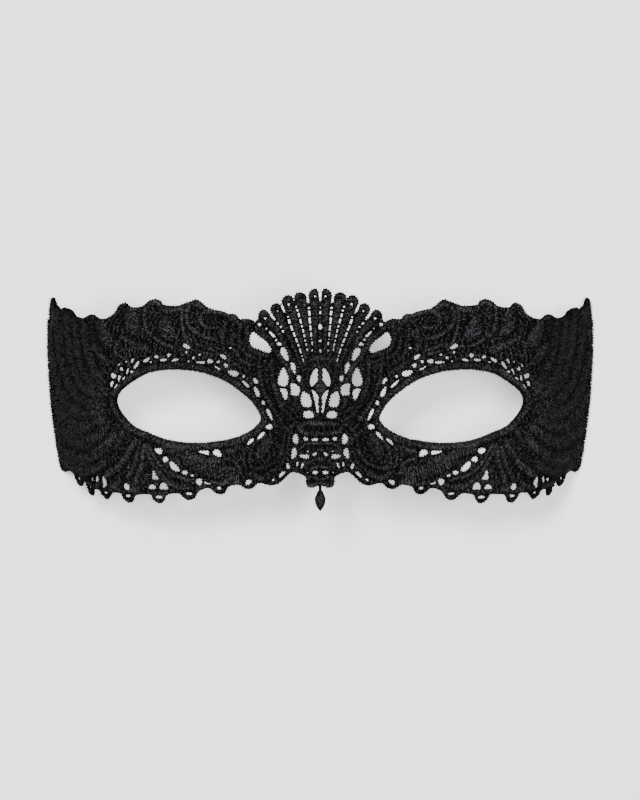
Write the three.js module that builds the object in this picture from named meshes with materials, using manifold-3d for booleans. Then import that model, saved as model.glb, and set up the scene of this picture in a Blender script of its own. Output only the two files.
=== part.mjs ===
// Eye mask of black guipure lace, lying on its back and arched as it is worn.
// Units are millimetres. X runs to the wearer's left end, Y towards the forehead, Z out of the face.
//
// The lace is laid out flat first, in coordinates s (along the lace from its middle), v (upwards)
// and t (out of the back face), and then bent over the form of the face.
import * as THREE from 'three';
import { mergeVertices } from 'three/addons/utils/BufferGeometryUtils.js';
import Module from 'manifold-3d';

const wasm = await Module();
wasm.setup();

// Form of the face: a shallow front arc, a tight temple arc and a straight side
const FRONT_RADIUS = 240;
const FRONT_HALF_LENGTH = 52;
const TEMPLE_RADIUS = 24.5;
const TEMPLE_ARC = 23.1;
const END_S = 102;

// The sides draw in towards the cheeks, below the height TAPER_TOP
const TAPER_TOP = 17.1;
const TAPER_REACH = 37;
const TAPER_AMOUNT = 0.046;

// Thickness of the lace, where its raised work starts, and the layer that keeps its length when bent
const GROUND_THICKNESS = 1.1;
const RELIEF_ROOT = 0.7;
const NEUTRAL_LAYER = 0.55;

// How finely the flat lace is cut before it is bent
const FRONT_STEP = 26;
const TEMPLE_STEP = 5.8;
const TAPER_FOLDS = [-4, TAPER_TOP];
const BLOCK_HEIGHT = 20;

// Spare length past the ends, cut off level where the mask rests, and how far a cut passes both faces
const END_SPARE = 4;
const FLOOR_DEPTH = 20;
const CUT_SPARE = 2;

// Middle of the top edge to the far end: the five rays of the half fan, then the scallops
const FAN_EDGE = [
  [0, 28.7], [0.2, 30.6], [1.4, 31.6], [2.7, 30.9], [3.05, 28.6], [3, 26.6],
  [3.6, 26.6], [3.9, 29.5], [5.6, 30.5], [7.15, 29.4], [7.2, 28.2],
  [9.05, 29.8], [10.6, 28.4], [10.5, 26.4], [9.6, 25], [10.7, 26.4],
  [12.35, 27.4], [13.9, 26.2], [13.5, 24.4], [12.5, 22.8], [14.5, 24.3],
  [16.05, 25.7], [17.5, 24.5], [17.6, 22.5],
];
const TOP_EDGE = [
  [20.5, 23.1], [22.6, 22.8], [25, 24.6], [30, 25.7], [32.8, 26.7],
  [35.7, 28.5], [41.5, 26.8], [45.4, 27.2], [47.3, 28.8], [49.5, 28.2],
  [51.5, 26.7], [54.8, 26.5], [56.2, 27.8], [58.3, 27.2], [60, 24.8], [64, 23.1],
  [65.4, 23.1], [68.8, 24.5], [75, 23.5], [80.5, 24.4], [85, 26.2],
  [91.5, 26.4], [96, 27.8], [98.4, 29.8], [100.4, 28.2], [101.8, 25.6],
];

// The lower edge without its loops, from the far end to the middle
const LOWER_EDGE = [
  [101.8, -20.2], [93, -20.8], [84.2, -23.2], [76, -25.5], [64, -26.35],
  [54, -26.7], [43.5, -26.4], [35.5, -25.1], [19, -23.2], [13.2, -24],
  [8.5, -20.3], [3.8, -21.9], [3.9, -23.8], [1, -24.4],
];

// Loops of the lower edge: place of the hole, its half width and half height, and the cord round it
const LOOP_CORD = 1.15;
const LOOPS = [
  [21.6, -23.4, 1.25, 0.8], [30.6, -25, 1.2, 0.6], [40.1, -26.6, 1.3, 0.6], [49.7, -27.6, 1.2, 0.65],
  [59.9, -27.3, 1.1, 0.7], [69.4, -26.6, 1.1, 0.6], [79.8, -25.4, 1.2, 0.55], [88, -22.9, 1.2, 0.6],
];

// Eye opening and the cord that rims it
const EYE = [
  [17, -5], [18.4, -1.8], [22.8, 3], [30, 7], [38, 8.9], [46, 8.8], [53, 6.4], [58, 2.8], [59.7, -0.3],
  [58, -4.1], [53, -8.4], [46, -11.2], [38, -12.4], [28, -11.6], [20.5, -8.8],
];
const EYE_SIDES = 26;
const RIM_OFFSET = 1;
const RIM_WIDTH = 1.7;
const RIM_HEIGHT = 1.05;

// Round and long holes of the open work: s, v, half length, half width, turn in degrees
const NET_HOLES = [
  [14.6, -3.9, 1.85, 0.65, 65], [14.8, -7.5, 1.3, 0.95, -15], [17.2, -10, 1.6, 0.65, -50],
  [20.3, -11.6, 1.4, 0.6, -40], [16.4, -0.7, 1, 0.7, 90], [18.1, 2.4, 1.8, 0.9, 70],
  [18.4, 5.6, 1.3, 0.8, 45], [21.2, 4.9, 1.7, 0.55, 40], [24.8, 7.8, 1.9, 0.95, 20],
  [27, 10, 0.9, 0.9, 0], [27.6, 12.5, 1.3, 0.65, 35],
  [31.5, 11.2, 1, 0.9, 0], [34.1, 10.9, 1.5, 0.5, 0], [43.4, 12.6, 1, 0.8, 0], [50, 11.6, 1.2, 0.65, -40],
  [53, 10.2, 1.4, 0.6, -55], [57.7, 9.1, 0.8, 0.7, 0], [58.6, 6.4, 1.1, 0.5, -70], [60.5, 7.1, 1.05, 0.95, 0],
  [61.2, 4.8, 1.2, 0.6, -55], [30.7, -15, 1.55, 1.15, 0], [36.6, -23.2, 1.2, 1.1, 90],
  [40.7, -20.6, 1, 0.8, 0], [43.8, -18.9, 2.1, 1.1, 35], [46.1, -16.8, 1.1, 1.1, 0],
  [47.9, -14.4, 1.4, 1.1, 30],
  [59.9, -24.7, 1.3, 1.15, 0], [69.2, -23.4, 1.5, 0.8, -65], [73.1, -23, 1.5, 0.7, -35],
  [76.8, -22.9, 1.2, 0.8, -10],
];
const NOSE_HOLES = [
  [17.2, 21.6, 0.8, 0.8, 0], [13.6, 18.8, 1.4, 0.6, 45], [10.1, 13.3, 2.1, 1.1, 60],
  [7.6, 9.4, 1.9, 0.75, 70], [6, 6.3, 1.05, 0.75, 90], [7, -10.9, 1.6, 1.05, 90],
  [4.4, -15.9, 1.6, 0.75, 0], [7.8, -15, 1.7, 1, 75],
  [9.5, -18.6, 1, 0.7, 90], [11.4, -21, 1.4, 0.5, -45],
];
const HOLE_CORNERS = 5;
const LOOP_CORNERS = 7;

// Gaps between the rays of the fan, each a row of slots with ties left between them
const RAY_GAP = 0.36;
const RAY_TIE = 0.8;
const RAY_GAPS = [
  { from: [3, 25.6], to: [1.9, 14], slots: 2 },
  { from: [6.9, 27.4], to: [3.5, 14.4], slots: 3 },
  { from: [9, 23.8], to: [4.4, 10.8], slots: 3 },
];

// Holes on the middle line: v, half width, half height
const MIDDLE_HOLES = [
  [26.8, 0.35, 0.6], [23.9, 0.35, 0.5], [21, 0.75, 0.8], [17, 0.5, 0.8], [14.2, 0.45, 0.6],
];
const MIDDLE_CORNERS = 6;

// Openings with corners, right half
const CORNERED_HOLES = [
  [[19.3, 19.6], [20.2, 17.3], [19.2, 15.1], [15, 13.5], [13.8, 14.7], [15.2, 16.8]],
  [[0.35, 9], [1.6, 9.2], [2.8, 5.4], [2.2, 4], [0.4, 6.4]],
  [[2.5, 2.9], [1.1, -3], [0.4, -3.4], [0.35, 1.4], [1.4, 3.2]],
  [[4.8, 2.8], [5.6, 0.2], [4.5, -2], [2.8, -2], [2.1, -0.3], [2.9, 2]],
  [[2.4, -2.7], [4.6, -2.9], [4.8, -4.9], [1.4, -4.6]],
  [[6.2, 4.3], [8.6, 5], [8.5, 1.5], [6.2, 1.3], [5.5, 3.2]],
  [[10.5, 9.6], [12.2, 5.8], [10.3, 3.8], [8.9, 6.5]],
  [[9.3, 3.2], [11.7, 3.5], [10, 0]],
  [[50.1, -20.1], [51.2, -22.7], [48.8, -22.6]],
  [[47.7, -23.2], [49.4, -25.4], [46.3, -25.4]],
];

// Raised ribs of the right half: the line of the crest, its width and its height over the ground
const RIBS = [
  // Scroll band beside the fan
  { line: [[18, 21], [12.6, 15], [7.6, 6]], width: 2, height: 0.9 },
  // Ribs from the tear-shaped hole down to the bridge of the nose
  { line: [[20.8, 14.2], [15.4, 4], [6.4, -6.6]], width: 2.2, height: 0.8 },
  // Shells of the brow
  { line: [[24, 23], [24, 17.4], [18.6, 11]], width: 2.6, height: 0.7 },
  { line: [[34.6, 27.4], [33.6, 22.4], [28.2, 20.9]], width: 1.9, height: 0.9 },
  { line: [[39, 26.6], [36.6, 20.6], [29, 16.6]], width: 2.6, height: 0.8 },
  { line: [[43.6, 25.8], [44, 20.6], [41.6, 15]], width: 4, height: 0.9 },
  { line: [[48.9, 27.4], [48.6, 21.4], [45.6, 15]], width: 2.6, height: 0.8 },
  { line: [[53.8, 26], [53.8, 20.6], [50.4, 14.2]], width: 3.4, height: 0.9 },
  { line: [[61.4, 23.4], [61.8, 17.6], [58.8, 12.4]], width: 3, height: 0.8 },
  { line: [[67.8, 23.8], [68, 17], [63.6, 9.4]], width: 3.6, height: 0.9 },
  // Feathers of the side, spreading from the outer corner of the eye
  { line: [[80.4, 23.6], [78, 14], [69.4, 4.4]], width: 4, height: 0.9 },
  { line: [[97.6, 27.6], [88, 9], [68, 1]], width: 4.4, height: 0.9 },
  { line: [[100, 6], [88, -3], [66, -4]], width: 4.4, height: 0.9 },
  { line: [[100, -8], [84, -11.4], [63, -8.4]], width: 4, height: 0.8 },
  { line: [[100, -16.4], [80, -18.4], [61, -12]], width: 3.6, height: 0.9 },
  // Feathers under the outer corner of the eye
  { line: [[66.2, -24.6], [60.4, -19], [54.2, -11]], width: 2.6, height: 0.9 },
  { line: [[57.4, -24], [54.2, -18.4], [52.4, -11.6]], width: 2.2, height: 0.8 },
  // Leaf under the eye
  { line: [[46.4, -14.2], [36, -19], [24.6, -20.6]], width: 5, height: 0.9 },
  // Scroll beside the nose
  { line: [[10.6, -8.6], [13, -16.4], [20.4, -19.2]], width: 1.9, height: 0.9 },
  { line: [[13.6, -9.8], [15.4, -13.8], [19, -16]], width: 4, height: 0.8 },
];

// Bars across the nose, drawn over the middle: half length, v at the middle, v at the end, width, height
const NOSE_BARS = [
  { reach: 6, middle: -7.2, end: -7.6, width: 3, height: 0.9 },
  { reach: 5.4, middle: -13.1, end: -12.7, width: 1.8, height: 0.8 },
  { reach: 5, middle: -18, end: -17.6, width: 2, height: 0.8 },
  { reach: 2.8, middle: -22.9, end: -22.9, width: 2, height: 0.9 },
];

// Rays of the half fan: root and tip of the crest
const RAYS = [
  [[1.1, 15], [1.5, 30.6]], [[2.9, 14], [5.6, 29.6]], [[4.4, 12.6], [9, 28.8]],
  [[5.7, 10.6], [12.3, 26.4]], [[7.6, 12], [16, 24.8]],
];
const RAY_WIDTH = 1.5;
const RAY_HEIGHT = 1;

// Straight pieces along a rib, a ray and a bar, and the share of its section that each keeps at its ends
const RIB_STEPS = 3;
const RAY_STEPS = 2;
const BAR_STEPS = 2;
const END_SHARE = 0.5;

// Width of a three-sided section whose corners lie at the distance 1
const SECTION_SPAN = Math.sqrt(3);

// Middle stem, diamond and drop
const STEM = { radius: 0.42, top: 4.4, bottom: -5.4 };
const DIAMOND = { v: 4.3, halfWidth: 1.6, halfHeight: 2.6, thickness: 1.7 };
const DROP = { thread: 0.35, top: -24, neck: -26, widest: -28.1, foot: -31.5, radius: 1.3 };

// Slope, distance from the middle plane and depth below the middle, at the length s on the form
function formAt(s) {
  const frontTurn = FRONT_HALF_LENGTH / FRONT_RADIUS;
  const sideTurn = frontTurn + TEMPLE_ARC / TEMPLE_RADIUS;
  const frontX = FRONT_RADIUS * Math.sin(frontTurn);
  const frontDepth = FRONT_RADIUS * (1 - Math.cos(frontTurn));
  if (s < FRONT_HALF_LENGTH) {
    const turn = s / FRONT_RADIUS;
    return { turn, x: FRONT_RADIUS * Math.sin(turn), depth: FRONT_RADIUS * (1 - Math.cos(turn)) };
  }
  const along = s - FRONT_HALF_LENGTH;
  const turn = Math.min(frontTurn + along / TEMPLE_RADIUS, sideTurn);
  const straight = Math.max(0, along - TEMPLE_ARC);
  const arcX = TEMPLE_RADIUS * (Math.sin(turn) - Math.sin(frontTurn));
  const arcDepth = TEMPLE_RADIUS * (Math.cos(frontTurn) - Math.cos(turn));
  return {
    turn,
    x: frontX + arcX + straight * Math.cos(sideTurn),
    depth: frontDepth + arcDepth + straight * Math.sin(sideTurn),
  };
}

const FORM_HEIGHT = formAt(END_S).depth;

// Place in space of the point s, v, t of the flat lace
function bend([s, v, t]) {
  const { turn, x, depth } = formAt(Math.abs(s));
  const below = Math.max(0, TAPER_TOP - v) / TAPER_REACH;
  const taper = 1 - TAPER_AMOUNT * below * below;
  const across = (x + (t - NEUTRAL_LAYER) * Math.sin(turn)) * taper;
  return [Math.sign(s) * across, v, FORM_HEIGHT - depth + t * Math.cos(turn)];
}

// Closed three.js geometry as a solid
function solid(geometry) {
  const plain = geometry.index ? geometry.toNonIndexed() : geometry.clone();
  plain.deleteAttribute('normal');
  plain.deleteAttribute('uv');
  const merged = mergeVertices(plain, 1e-4);
  return new wasm.Manifold(new wasm.Mesh({
    numProp: 3,
    vertProperties: Float32Array.from(merged.attributes.position.array),
    triVerts: Uint32Array.from(merged.index.array),
  }));
}

function joined(solids) {
  return solids.reduce((sum, next) => sum.add(next));
}

// Flat outline pulled up from the height bottom to the height top
function slab(points, bottom, top) {
  const shape = new THREE.Shape(points.map(([s, v]) => new THREE.Vector2(s, v)));
  const geometry = new THREE.ExtrudeGeometry(shape, { depth: top - bottom, bevelEnabled: false });
  return solid(geometry.translate(0, 0, bottom));
}

// Prism that goes right through the lace
function cutter(points) {
  return slab(points, -CUT_SPARE, GROUND_THICKNESS + CUT_SPARE);
}

function oval(s, v, halfLength, halfWidth, degrees, sides) {
  const turn = THREE.MathUtils.degToRad(degrees);
  return Array.from({ length: sides }, (_, i) => {
    const angle = (2 * Math.PI * (i + 0.5)) / sides;
    const a = halfLength * Math.cos(angle);
    const b = halfWidth * Math.sin(angle);
    return [s + a * Math.cos(turn) - b * Math.sin(turn), v + a * Math.sin(turn) + b * Math.cos(turn)];
  });
}

// Roof-shaped rib along a smooth line, drawn in at both ends
function rib(line, width, height, steps) {
  const curve = new THREE.CatmullRomCurve3(line.map(([s, v]) => new THREE.Vector3(s, v, 0)));
  const geometry = new THREE.CylinderGeometry(1, 1, 1, 3, steps);
  const position = geometry.attributes.position;
  for (let i = 0; i < position.count; i += 1) {
    const along = position.getY(i) + 0.5;
    const at = curve.getPoint(along);
    const way = curve.getTangent(along);
    const swell = END_SHARE + (1 - END_SHARE) * Math.sin(Math.PI * along);
    const side = (position.getX(i) * width * swell) / SECTION_SPAN;
    const top = GROUND_THICKNESS - RELIEF_ROOT + height * swell;
    const rise = RELIEF_ROOT + Math.max(0, position.getZ(i)) * top;
    position.setXYZ(i, at.x + way.y * side, at.y - way.x * side, rise);
  }
  return solid(geometry);
}

// Rib that closes on itself, outside a closed line
function ring(line, sides, offset, width, height) {
  const curve = new THREE.CatmullRomCurve3(line.map(([s, v]) => new THREE.Vector3(s, v, 0)), true);
  const geometry = new THREE.TorusGeometry(2, 1, 3, sides);
  const position = geometry.attributes.position;
  const uv = geometry.attributes.uv;
  for (let i = 0; i < position.count; i += 1) {
    const along = (1 - uv.getX(i)) % 1;
    const angle = 2 * Math.PI * uv.getY(i) + Math.PI / 2;
    const at = curve.getPoint(along);
    const way = curve.getTangent(along);
    const out = offset + (Math.cos(angle) * width) / SECTION_SPAN;
    const top = GROUND_THICKNESS - RELIEF_ROOT + height;
    const rise = RELIEF_ROOT + Math.max(0, Math.sin(angle)) * top;
    position.setXYZ(i, at.x - way.y * out, at.y + way.x * out, rise);
  }
  return solid(geometry);
}

// The other half of the lace
function mirrored(half) {
  const mesh = half.getMesh();
  const vertProperties = Float32Array.from(mesh.vertProperties, (value, i) => (i % 3 === 0 ? -value : value));
  const triVerts = Uint32Array.from(mesh.triVerts);
  for (let i = 0; i < triVerts.length; i += 3) {
    [triVerts[i], triVerts[i + 1]] = [triVerts[i + 1], triVerts[i]];
  }
  return new wasm.Manifold(new wasm.Mesh({ numProp: 3, vertProperties, triVerts }));
}

// Loop of the lower edge, cord and all
function loopSlab([s, v, halfLength, halfWidth]) {
  const edge = oval(s, v, halfLength + LOOP_CORD, halfWidth + LOOP_CORD, 0, LOOP_CORNERS);
  return slab(edge, 0, GROUND_THICKNESS);
}

// Slots of one gap between two rays
function raySlots({ from, to, slots }) {
  const way = new THREE.Vector2(to[0] - from[0], to[1] - from[1]);
  const pitch = way.length() / slots;
  const degrees = THREE.MathUtils.radToDeg(way.angle());
  return Array.from({ length: slots }, (_, i) => {
    const share = (i + 0.5) / slots;
    const [s, v] = [from[0] + share * way.x, from[1] + share * way.y];
    return cutter(oblong(s, v, (pitch - RAY_TIE) / 2, RAY_GAP, degrees));
  });
}

function oblong(s, v, halfLength, halfWidth, degrees) {
  const corner = Math.SQRT2;
  return oval(s, v, corner * halfLength, corner * halfWidth, degrees, 4);
}

function rightHalf() {
  const far = END_S + END_SPARE;
  const outline = [
    [0, LOWER_EDGE.at(-1)[1]],
    ...FAN_EDGE,
    ...TOP_EDGE,
    [far, TOP_EDGE.at(-1)[1]],
    [far, LOWER_EDGE[0][1]],
    ...LOWER_EDGE,
  ];
  const eye = new THREE.CatmullRomCurve3(EYE.map(([s, v]) => new THREE.Vector3(s, v, 0)), true);
  const eyeOutline = eye.getPoints(EYE_SIDES).slice(0, -1).map((point) => [point.x, point.y]);
  const raised = [
    slab(outline, 0, GROUND_THICKNESS),
    ...LOOPS.map(loopSlab),
    ...RIBS.map(({ line, width, height }) => rib(line, width, height, RIB_STEPS)),
    ...RAYS.map((line) => rib(line, RAY_WIDTH, RAY_HEIGHT, RAY_STEPS)),
    ring(EYE, EYE_SIDES, RIM_OFFSET, RIM_WIDTH, RIM_HEIGHT),
  ];
  const holes = [
    cutter(eyeOutline),
    ...[...NET_HOLES, ...NOSE_HOLES, ...LOOPS].map((hole) => {
      const [s, v, halfLength, halfWidth, degrees = 0] = hole;
      return cutter(oval(s, v, halfLength, halfWidth, degrees, HOLE_CORNERS));
    }),
    ...RAY_GAPS.flatMap(raySlots),
    ...CORNERED_HOLES.map(cutter),
  ];
  return joined(raised).subtract(joined(holes));
}

function noseBar({ reach, middle, end, width, height }) {
  return rib([[-reach, end], [0, middle], [reach, end]], width, height, BAR_STEPS);
}

// Parts that lie over the middle line
function middleParts() {
  const stem = new THREE.CylinderGeometry(STEM.radius, STEM.radius, STEM.top - STEM.bottom, 6);
  stem.translate(0, (STEM.top + STEM.bottom) / 2, GROUND_THICKNESS / 2);
  const { thread, top, neck, widest, foot, radius } = DROP;
  const profile = [
    [0, foot], [0.35 * radius, foot + 0.3], [0.75 * radius, foot + 1.6], [radius, widest],
    [0.8 * radius, widest + 1.2], [thread, neck], [thread, top], [0, top],
  ];
  const drop = new THREE.LatheGeometry(profile.map(([x, y]) => new THREE.Vector2(x, y)), 8);
  drop.translate(0, 0, GROUND_THICKNESS / 2);
  const diamond = [
    [0, DIAMOND.v - DIAMOND.halfHeight], [DIAMOND.halfWidth, DIAMOND.v],
    [0, DIAMOND.v + DIAMOND.halfHeight], [-DIAMOND.halfWidth, DIAMOND.v],
  ];
  return joined([solid(stem), solid(drop), slab(diamond, 0, DIAMOND.thickness), ...NOSE_BARS.map(noseBar)]);
}

function flatLace() {
  const half = rightHalf();
  const whole = half.add(mirrored(half)).add(middleParts());
  const holes = MIDDLE_HOLES.map(([v, halfWidth, halfHeight]) => (
    cutter(oval(0, v, halfHeight, halfWidth, 90, MIDDLE_CORNERS))
  ));
  return whole.subtract(joined(holes));
}

// Levels from one value to another in equal steps no longer than step
function levels(from, to, step) {
  const count = Math.ceil((to - from) / step);
  return Array.from({ length: count + 1 }, (_, i) => from + ((to - from) * i) / count);
}

// The same solid with every face counted as a new one, so that joined neighbours keep the edge between them
function afresh(manifold) {
  const { vertProperties, triVerts } = manifold.getMesh();
  return new wasm.Manifold(new wasm.Mesh({ numProp: 3, vertProperties, triVerts }));
}

// Part of a solid between two lengths and two heights
function cell(flat, [fromS, toS], [fromV, toV]) {
  const block = new THREE.BoxGeometry(toS - fromS, toV - fromV, BLOCK_HEIGHT);
  block.translate((fromS + toS) / 2, (fromV + toV) / 2, 0);
  return afresh(flat.intersect(solid(block)));
}

function pairs(values) {
  return values.slice(1).map((value, i) => [values[i], value]);
}

// The flat lace with an edge across it wherever it is to be folded
function creased(flat) {
  const far = END_S + 2 * END_SPARE;
  const front = levels(0, FRONT_HALF_LENGTH, FRONT_STEP);
  const temple = levels(FRONT_HALF_LENGTH, FRONT_HALF_LENGTH + TEMPLE_ARC, TEMPLE_STEP);
  const right = [...front, ...temple.slice(1), far];
  const lengths = [...right.slice(1).reverse().map((s) => -s), ...right];
  const heights = [-far, ...TAPER_FOLDS, far];
  return joined(pairs(lengths).flatMap((across) => pairs(heights).map((up) => cell(flat, across, up))));
}

// The creased lace bent over the form
function bent(flat) {
  const { vertProperties, triVerts } = creased(flat).getMesh();
  const starts = levels(0, vertProperties.length, 3);
  const points = pairs(starts).map(([from, to]) => vertProperties.slice(from, to));
  return new wasm.Manifold(new wasm.Mesh({
    numProp: 3,
    vertProperties: Float32Array.from(points.flatMap((point) => bend(Array.from(point)))),
    triVerts,
  }));
}

function below() {
  const floor = new THREE.BoxGeometry(4 * END_S, 4 * END_S, FLOOR_DEPTH);
  return solid(floor.translate(0, 0, -FLOOR_DEPTH / 2));
}

function threeGeometry(manifold) {
  const mesh = manifold.getMesh();
  const geometry = new THREE.BufferGeometry();
  geometry.setAttribute('position', new THREE.BufferAttribute(Float32Array.from(mesh.vertProperties), 3));
  geometry.setIndex(new THREE.BufferAttribute(Uint32Array.from(mesh.triVerts), 1));
  return geometry;
}

const blackLace = new THREE.MeshStandardMaterial({ color: 0x1a1a1b, roughness: 0.72, metalness: 0 });
const laceMask = new THREE.Mesh(threeGeometry(bent(flatLace()).subtract(below())), blackLace);
laceMask.name = 'lace_mask';

const mask = new THREE.Group();
mask.add(laceMask);

export default mask;
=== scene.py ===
"""Eye mask of black guipure lace: the dressed look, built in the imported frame.

The lace is drawn flat, in millimetres: s runs along it from the middle, v runs up, t comes out of
its back. Every mesh is made flat and then bent over the form of the face, in metres.
"""

import logging
import math
from dataclasses import dataclass, field
from enum import Enum
from typing import Iterable, Optional, Sequence

import bpy
import numpy as np
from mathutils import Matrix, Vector, geometry, kdtree


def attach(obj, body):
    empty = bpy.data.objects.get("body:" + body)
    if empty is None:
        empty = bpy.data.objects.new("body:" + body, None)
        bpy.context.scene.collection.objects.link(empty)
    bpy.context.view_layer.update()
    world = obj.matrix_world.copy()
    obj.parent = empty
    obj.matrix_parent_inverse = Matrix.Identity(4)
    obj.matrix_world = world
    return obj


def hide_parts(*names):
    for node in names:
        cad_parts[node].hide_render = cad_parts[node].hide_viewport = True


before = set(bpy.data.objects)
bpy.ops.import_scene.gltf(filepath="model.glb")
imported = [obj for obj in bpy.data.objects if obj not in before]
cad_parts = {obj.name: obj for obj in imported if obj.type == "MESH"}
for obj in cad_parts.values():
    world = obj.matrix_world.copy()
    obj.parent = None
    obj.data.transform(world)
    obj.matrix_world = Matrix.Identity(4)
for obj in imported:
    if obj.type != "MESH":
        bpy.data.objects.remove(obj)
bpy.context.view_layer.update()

LOG = logging.getLogger("lace_mask")
MM = 0.001
SEED = 11
NODE = "lace_mask"

Points = Sequence[Sequence[float]]

# Outline of the right half, from the middle of the fan round to the middle of the lower edge
FAN_EDGE = [
    (0, 27.9), (0.3, 28.4), (0.4, 29.2), (0.45, 30.3), (0.75, 31.2), (1.5, 31.8), (2.85, 30.9), (3.3, 29.6),
    (3.05, 28.3), (3.4, 27.2),
    (3.9, 28), (3.95, 29.2), (4.5, 30.25), (5.65, 30.65), (6.85, 30.25), (7.45, 29.2), (7.45, 28.1),
    (7.8, 29.05), (9.15, 29.9), (10.6, 29), (10.95, 27.9), (10.55, 26.8), (10.05, 25.7), (9.75, 24.3),
    (10.45, 25), (11, 25.9), (11.35, 27), (12.5, 27.6), (13.7, 27), (14.25, 25.9), (13.6, 24.4), (12.7, 22.7),
    (13.9, 23.4), (14.8, 24.9), (16.1, 25.75), (17.3, 25.05), (17.65, 24.1), (17.8, 22.9),
]
TOP_EDGE = [
    (18.4, 22.1), (19.3, 22.7), (20.5, 23.1), (21.8, 23.1), (23.1, 23), (23.8, 24), (25.1, 24.6), (26, 24.4),
    (27.5, 25.1), (30, 25.7), (31.5, 26), (32.8, 26.8), (34.4, 28.1), (35.7, 28.7), (37, 28.15), (38.5, 27.7),
    (40, 27.1), (41.5, 26.8), (44, 27), (45.4, 27.3), (45.6, 28), (47.3, 28.8), (48.5, 28.6), (49.5, 28.2),
    (50.5, 27.3), (51.5, 26.7), (54.5, 26.5), (55.2, 26.8), (56.2, 27.8), (57, 27.7), (58.3, 27.2),
    (59, 26.3),
    (59.6, 25.3), (60.3, 24.6), (62.5, 23.4), (64, 23.1), (65.2, 23.1), (67, 24), (68, 24.4), (69.5, 24.5),
    (72.5, 23.7), (75, 23.5), (78.5, 23.9), (80.5, 24.4), (82.5, 25.5), (85, 26.2), (87.5, 26.6),
    (90.1, 26.8),
    (91.5, 26.3), (94, 26.9), (96, 27.8), (97.7, 29.7), (99, 29.8), (100.2, 28.3), (101.1, 26.3),
    (101.5, 24.8),
]
END_EDGE = [(101.6, 20), (101.4, 5), (101.3, -10), (101.3, -19.6)]
LOWER_EDGE = [
    (101, -20.6), (100.2, -20.9), (98, -20.7), (95.5, -20.5), (93, -20.8), (91.2, -21.7), (90.9, -23),
    (90, -24.1),
    (88, -25), (86.4, -24.5), (85.2, -23.6), (84.2, -23.2), (83, -23.5), (82.3, -25.3), (81.5, -26.6),
    (80, -27.5), (78.5, -27.1), (77.4, -25.8), (76, -25.5), (73.2, -25.75), (72.1, -26.3), (71.7, -27.4),
    (70.7, -28.2), (69.3, -28.4), (67.8, -27.7), (66.5, -26.7), (64, -26.5), (62.5, -26.7), (62.1, -27.9),
    (61.2, -28.9), (60, -29.4), (58.8, -29), (57.8, -27.8), (57.1, -27.1), (54, -26.9), (52.2, -26.95),
    (51.9, -28), (51, -29.1), (49.7, -29.5), (48.4, -28.8), (47.7, -27.5), (46.8, -26.9), (43.7, -26.6),
    (42.8, -27.1), (41.6, -28.2), (40.2, -28.6), (38.8, -28), (37.6, -26.4), (37, -25.9), (35.5, -25.3),
    (33.5, -25.2), (32.4, -26.2), (30.8, -26.85), (29.3, -26.5), (28.4, -25.3), (27.8, -24.6), (24.4, -24.15),
    (23.5, -24.8), (22, -25.4), (20.4, -25), (19.3, -24), (18.7, -23.6), (16, -24.1), (14, -24.3),
    (12, -23.4), (11, -22.4), (9.5, -21.2), (8.5, -20.5), (6.6, -20.8), (4.9, -21.5), (4.2, -22.2),
    (4.3, -23.2), (3.9, -24.4), (2.7, -25), (1.1, -24.5), (0, -24.4),
]
EYE = [
    (17.1, -5), (17.9, -3), (20.1, 0), (23.1, 2.6), (27.2, 5.4), (31, 7), (35, 8.15), (39, 8.65),
    (43, 8.75), (46, 8.5),
    (50, 7.7), (53, 6.2), (57, 3.7), (59.1, 1.8), (59.9, -0.3), (59.1, -2.9), (57.1, -5.5), (54.7, -7.7),
    (51.1, -9.2),
    (46, -11.2), (40, -12.2), (35, -12.3), (30, -11.8), (26, -11.1), (23, -10.1), (20, -8.6), (17.4, -6.2),
]

# How far out and down the small openings and the bands sit from the places listed for them
SHIFT = (0.1, -0.15)

# Openings of the right half as ovals: s, v, half length, half width, turn in degrees
NET_HOLES = [
    (14.6, -3.9, 1.85, 0.65, 65), (14.8, -7.5, 1.2, 0.82, -15), (17.2, -10, 1.6, 0.65, -50),
    (20.3, -11.6, 1.4, 0.6, -40), (16.4, -0.7, 0.62, 0.9, 0), (18.1, 2.4, 1.6, 0.78, 70),
    (18.4, 5.6, 1.15, 0.68, 45),
    (21.3, 4.7, 1.65, 0.55, 40), (21.8, 6.9, 0.55, 0.55, 0), (24.8, 7.8, 1.85, 0.92, 20),
    (26.9, 10, 0.78, 0.78, 0),
    (27.6, 12.5, 1.3, 0.65, 35), (29.1, 11.1, 0.62, 0.62, 0), (29.3, 9.2, 1.3, 0.38, 30),
    (31.5, 11.2, 0.95, 0.82, 0),
    (34.1, 10.9, 1.5, 0.5, 0), (34.5, 13.1, 0.6, 0.4, 0), (36.3, 12.2, 0.65, 0.5, 0),
    (37.7, 11.2, 0.42, 0.42, 0),
    (38.3, 13.8, 0.5, 0.58, 0), (41.6, 11.6, 1.1, 0.5, -10), (43.4, 12.9, 0.85, 0.7, 0),
    (45.1, 11.6, 1.2, 0.5, 0),
    (47.1, 12.5, 0.75, 0.65, 0), (48.7, 11, 0.6, 0.35, 0), (50, 11.6, 1.2, 0.65, -40),
    (53, 10.2, 1.4, 0.6, -55),
    (54.2, 11.4, 0.95, 0.5, -50), (56.1, 11.1, 0.45, 0.45, 0), (54.5, 8.2, 0.72, 0.6, 0),
    (55.8, 8.4, 1.05, 0.5, -60),
    (57.7, 9.1, 0.75, 0.75, 0), (58.6, 10.2, 0.9, 0.4, -50), (57.1, 6.3, 0.82, 0.56, -35),
    (58.6, 6.4, 1.25, 0.6, -70),
    (60.5, 7.1, 1.1, 1, 0), (59.7, 4, 1.35, 0.6, -40), (61.2, 4.8, 1.25, 0.65, -55),
    (25.6, 15, 0.62, 0.36, -15),
]
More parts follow.
